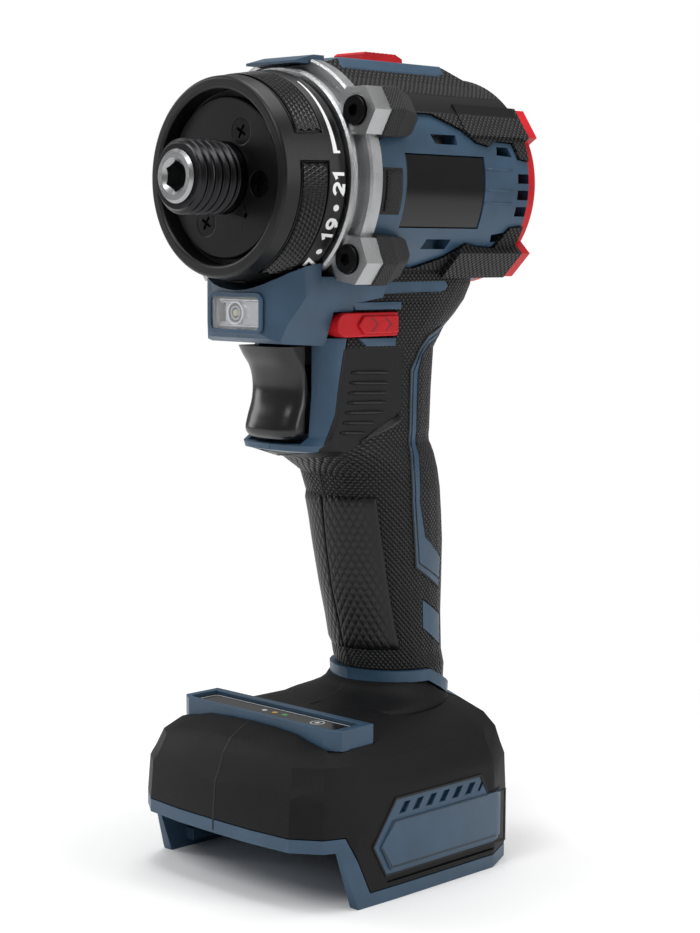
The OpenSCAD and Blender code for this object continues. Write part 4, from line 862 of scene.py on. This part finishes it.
def tang_trim(rubber, blue, line):
    """Overmould above and below the thin blue line under the barrel, dark lines of painted shadow along its
    edges, and the plates beside the push bar.
    """
    field = Piece(on_handle)
    field.patch((31.0, 141.7), (62.0, 141.7), (64.9, 144.2), (31.0, 143.4), (16, 3), 0.12, edge=0)
    field.patch((27.0, 146.6), (64.4, 146.9), (62.0, 149.0), (25.0, 149.0), (16, 3), 0.12, edge=0)
    field.done("tang_overmould", rubber, sides=BOTH)
    # painted shadow: dark lines along the overmould's edges
    lines = Piece(on_handle).ribbon([(31.0, 143.5), (50.0, 143.9), (64.9, 144.3)], 0.3, 0.16)
    lines.ribbon([(27.0, 146.5), (64.4, 146.8)], 0.3, 0.16)
    lines.done("tang_lines", line, slot="dark_plastic", sides=BOTH)
    plates = Piece(on_handle)
    plates.patch((31.0, 140.1), (46.4, 140.1), (46.4, 142.0), (29.8, 142.0), (6, 2), 0.55, edge=0.2)
    plates.patch((34.6, 131.3), (44.8, 131.1), (44.8, 133.1), (32.0, 133.3), (6, 2), 0.55, edge=0.2)
    plates.done("slider_plates", blue, slot="blue_plastic", sides=BOTH, soft=0.2)


def trim_lines(line):
    """Dark shadow gaps along the rear stripe and the guard; z counts from the axis."""
    stripe = [(70.6, -34), (58.2, -38), (54.6, -41.2), (51, -46.2), (51, -71.2), (51.8, -79.2),
              (55.3, -96.7), (66.4, -103.3), (66.7, -95), (58.4, -89), (54.9, -79.2), (54.7, -71.2),
              (54.6, -47.2), (56.3, -42.8), (59.3, -40.6), (71, -36.6)]
    guard = [(20.2, -66.6), (24.4, -61.6), (26.2, -56.2), (27.4, -47.2), (28.4, -40.6)]
    inner = [(71.0, -35.5), (58.8, -39.3), (55.4, -42.2), (52.3, -46.8), (52.2, -71.2), (53.0, -79.2),
             (56.4, -95.6), (66.5, -101.0)]
    lines = Piece(on_handle)
    for path, width in ((stripe[:8], 0.5), (stripe[8:], 0.5), (guard, 0.5), (inner, 0.28)):
        lines.ribbon(fine_path([(y, AXIS + z) for y, z in path], 1.5), width, 0.07)
    lines.done("trim_lines", line, slot="dark_plastic", sides=BOTH)


def boss_lugs(rubber):
    """Rubber sleeves over the rear half of the four screw bosses, tapering away behind them."""
    # place behind the rim, distance from the spindle axis, size of the hexagon
    rings = ((25.2, 30.4, 6.62), (25.8, 30.4, 6.8), (30.2, 30.4, 6.8), (36.0, 29.2, 5.6), (38.6, 28.2, 4.4),
             (39.6, 27.4, 2.8))
    lugs = Piece()
    for angle in (30.6, -38.2):
        turn = math.radians(angle)
        corners = [turn + math.radians(60 * k + BOSS_TURN) for k in range(6)]
        lugs.loft([[(out * math.cos(turn) + r * math.cos(c), y, AXIS + out * math.sin(turn) + r * math.sin(c))
                    for c in corners] for y, out, r in rings])
    lugs.done("boss_lugs", rubber, sides=BOTH, soft=0.6)


def strip_sides(blue):
    """The blue strip's sloping sides over the shoulders of the ridge."""
    slope = math.hypot(RIDGE_HALF - STRIP_HALF, SHOULDER)
    nx, nz = SHOULDER / slope, (RIDGE_HALF - STRIP_HALF) / slope

    def on_slope(u, v, height):
        share = v / slope
        drop = max(0.0, 1.6 * (1 - (u - 26) / 6)) if u < 32 else max(0.0, (u - 68) * 7.5 / 16)
        return (STRIP_HALF + (RIDGE_HALF - STRIP_HALF) * share + nx * height, u,
                AXIS + RIDGE_TOP - drop - SHOULDER * share + nz * height)

    rows = []
    for k in range(21):
        u = 27.0 + (72.0 - 27.0) * k / 20
        deep = 3.4 if u < 66 else 3.4 - (u - 66) * 0.5
        rows.append([(u, 0.0, 0.0), (u, 0.4, 0.12), (u, deep - 0.3, 0.14), (u, deep, 0.0)])
    Piece(on_slope).sheet(rows, -0.3).done("strip_sides", blue, slot="blue_plastic", sides=BOTH)


# ---------- foot ----------

def info_windows(light_line, white, amber, green):
    """Thin border, three plain light windows and a button window on the info panel."""
    surface = on_top(40.8)
    Piece(surface).ribbon(rounded(-24.2, 15.9, 24.2, 21.9, 0.8), 0.28, 0.03, closed=True).done(
        "info_border", light_line, slot="gloss_black")
    for name, u, material in (("white", -3.2, white), ("amber", 0.4, amber), ("green", 4.0, green)):
        Piece(surface).disc(u, 19.0, 0.7, 0.05).done("info_light_" + name, material, slot="clear_lens")
    button = Piece(surface).ribbon(circle(15.5, 18.9, 1.7), 0.3, 0.04, closed=True)
    button.disc(15.5, 18.9, 0.7, 0.04).done("info_button_ring", light_line, slot="gloss_black")


def neck_skirt(rubber):
    """Smooth flare from the neck ring down to the top of the foot."""
    steps, rear_edge, rear_slope = 48, 57.5, 0.56
    # height, front, back, half width
    levels = ((45.4, 45.2, 73.0, 15.1), (43.8, 43.8, 73.3, 15.7), (42.5, 41.0, 73.6, 16.8),
              (41.5, 36.5, 73.8, 18.4), (40.6, 30.0, 73.9, 20.0), (39.4, 24.0, 73.9, 21.4))
    rings = []
    for z, front, back, half in levels:
        ring = []
        for c, s in circle(0, 0, 1, steps):
            x = half * abs(s) ** 0.95 * (1 if s > 0 else -1)
            y = (front + back) / 2 - (back - front) / 2 * abs(c) ** 0.95 * (1 if c > 0 else -1)
            ring.append((x, y, min(z, 45.4 - max(0.0, y - rear_edge) * rear_slope)))
        rings.append(ring)
    flare = Piece().loft(rings)
    flare.done("neck_skirt", rubber, smooth=True)


def foot_lines(dark):
    """Dark shadow line round the blank plate on each side of the foot."""
    outline = [(18, 14.2), (22.5, 6.4), (66, 6.4), (66, 19.4), (59.5, 19.4), (56.5, 24.6), (25.8, 24.6)]
    Piece(on_side(35.45)).ribbon(fine_path(outline + outline[:1])[:-1], 0.5, 0.06, closed=True).done(
        "foot_panel_line", dark, slot="dark_plastic", sides=BOTH)


# ---------- camera, light and ground ----------


def camera():
    """Stands above and to the left of the nose, with a long lens."""
    data = bpy.data.cameras.new("camera")
    data.sensor_fit = "VERTICAL"
    data.sensor_height = 36.0
    data.lens = 78.61
    data.clip_start, data.clip_end = 0.01, 20.0
    look = Vector((-0.69568155, 0.71012325, -0.10840735))
    right = Vector((0.71386962, 0.70025371, 0.00590842))
    up = right.cross(look)
    turn = Matrix((right, up, -look)).transposed().to_4x4()
    cam = bpy.data.objects.new("camera", data)
    cam.matrix_world = Matrix.Translation((0.35894, -0.35841, 0.15586)) @ turn
    bpy.context.scene.collection.objects.link(cam)
    bpy.context.scene.camera = cam


def soft_light(name, place, aim, size, watts):
    """A rectangular lamp turned toward a point."""
    data = bpy.data.lights.new(name, "AREA")
    data.shape = "RECTANGLE"
    data.size, data.size_y = size
    data.energy = watts
    lamp = bpy.data.objects.new(name, data)
    lamp.location = place
    lamp.rotation_euler = (Vector(aim) - Vector(place)).to_track_quat("-Z", "Y").to_euler()
    bpy.context.scene.collection.objects.link(lamp)


def surroundings():
    """White to the camera and in reflections, dimmer as fill light."""
    world = bpy.data.worlds.new("studio")
    bpy.context.scene.world = world
    world.use_nodes = True
    tree = world.node_tree
    graph = Graph(tree)
    seen, through, glossy = (graph.node("LightPath", out="Is " + ray + " Ray")
                             for ray in ("Camera", "Transmission", "Glossy"))
    strength = (seen.most(through) * (1 - FILL) + FILL).most(glossy * MIRRORED)
    graph.join(strength, tree.nodes["Background"].inputs["Strength"])
    graph.join((1.0, 1.0, 1.0), tree.nodes["Background"].inputs["Color"])


def ground():
    """Pale floor round the tool that fades into the white surroundings."""
    f = Finish("floor", Roughness=0.9, Specular_IOR_Level=0.1)
    f.set("Base Color", (0.9, 0.9, 0.9))
    _, x, y, _ = f.place()
    far = ((x * x + y * y) ** 0.5).rise(150.0, 420.0)
    seen = f.node("LightPath", out="Is Camera Ray") * far
    white = f.node("Emission", {}, {"Color": (1.0, 1.0, 1.0, 1.0), "Strength": 1.0})
    both = f.node("MixShader", {}, {0: seen, 1: Field(f, f.shader.outputs[0]), 2: white})
    f.join(both, f.tree.nodes["Material Output"].inputs["Surface"])
    bpy.ops.mesh.primitive_plane_add(size=8.0, location=(0, 0, 0))
    floor = bpy.context.object
    floor.name = "floor"
    floor.data.materials.append(f.material)


camera()
surroundings()
ground()
soft_light("key", (0.15, -0.85, 0.95), (0, 0, 0.12), (0.5, 0.5), 5.5)
soft_light("side", (1.0, 0.35, 0.5), (0, 0, 0.13), (0.35, 0.9), 4.0)
soft_light("left", (-0.8, -0.35, 0.5), (0, 0, 0.12), (0.3, 0.9), 3.0)
soft_light("top", (0.0, 0.1, 1.0), (0, 0, 0.15), (0.7, 0.7), 7.0)

finishes = make_finishes()
for finish, nodes in NODE_FINISH.items():
    for node in nodes.split():
        dress(node, finishes[finish], SOFT_EDGE.get(node, 0.25))

collar_scale(finishes["print"])
collar_knurls(finishes["knurl"])
side_details(finishes["pebble"], finishes["blue"], finishes["line"])
lamp_details(finishes["blue"], finishes["bright"], finishes["diode"], finishes["line"])
rib_field(finishes["rubber"])
grip_panel(finishes["scales"])
seams(finishes["line"])
finger_trigger(finishes["trigger"])
direction_slider(finishes["red"], finishes["dark_red"])
tang_trim(finishes["handle"], finishes["blue"], finishes["line"])
trim_lines(finishes["line"])
boss_lugs(finishes["pebble"])
strip_sides(finishes["blue"])
info_windows(finishes["thin_print"], *(finishes[colour + "_light"] for colour in ("white", "amber", "green")))
neck_skirt(finishes["foot"])
foot_lines(finishes["line"])

bpy.context.scene.view_settings.view_transform = "Standard"
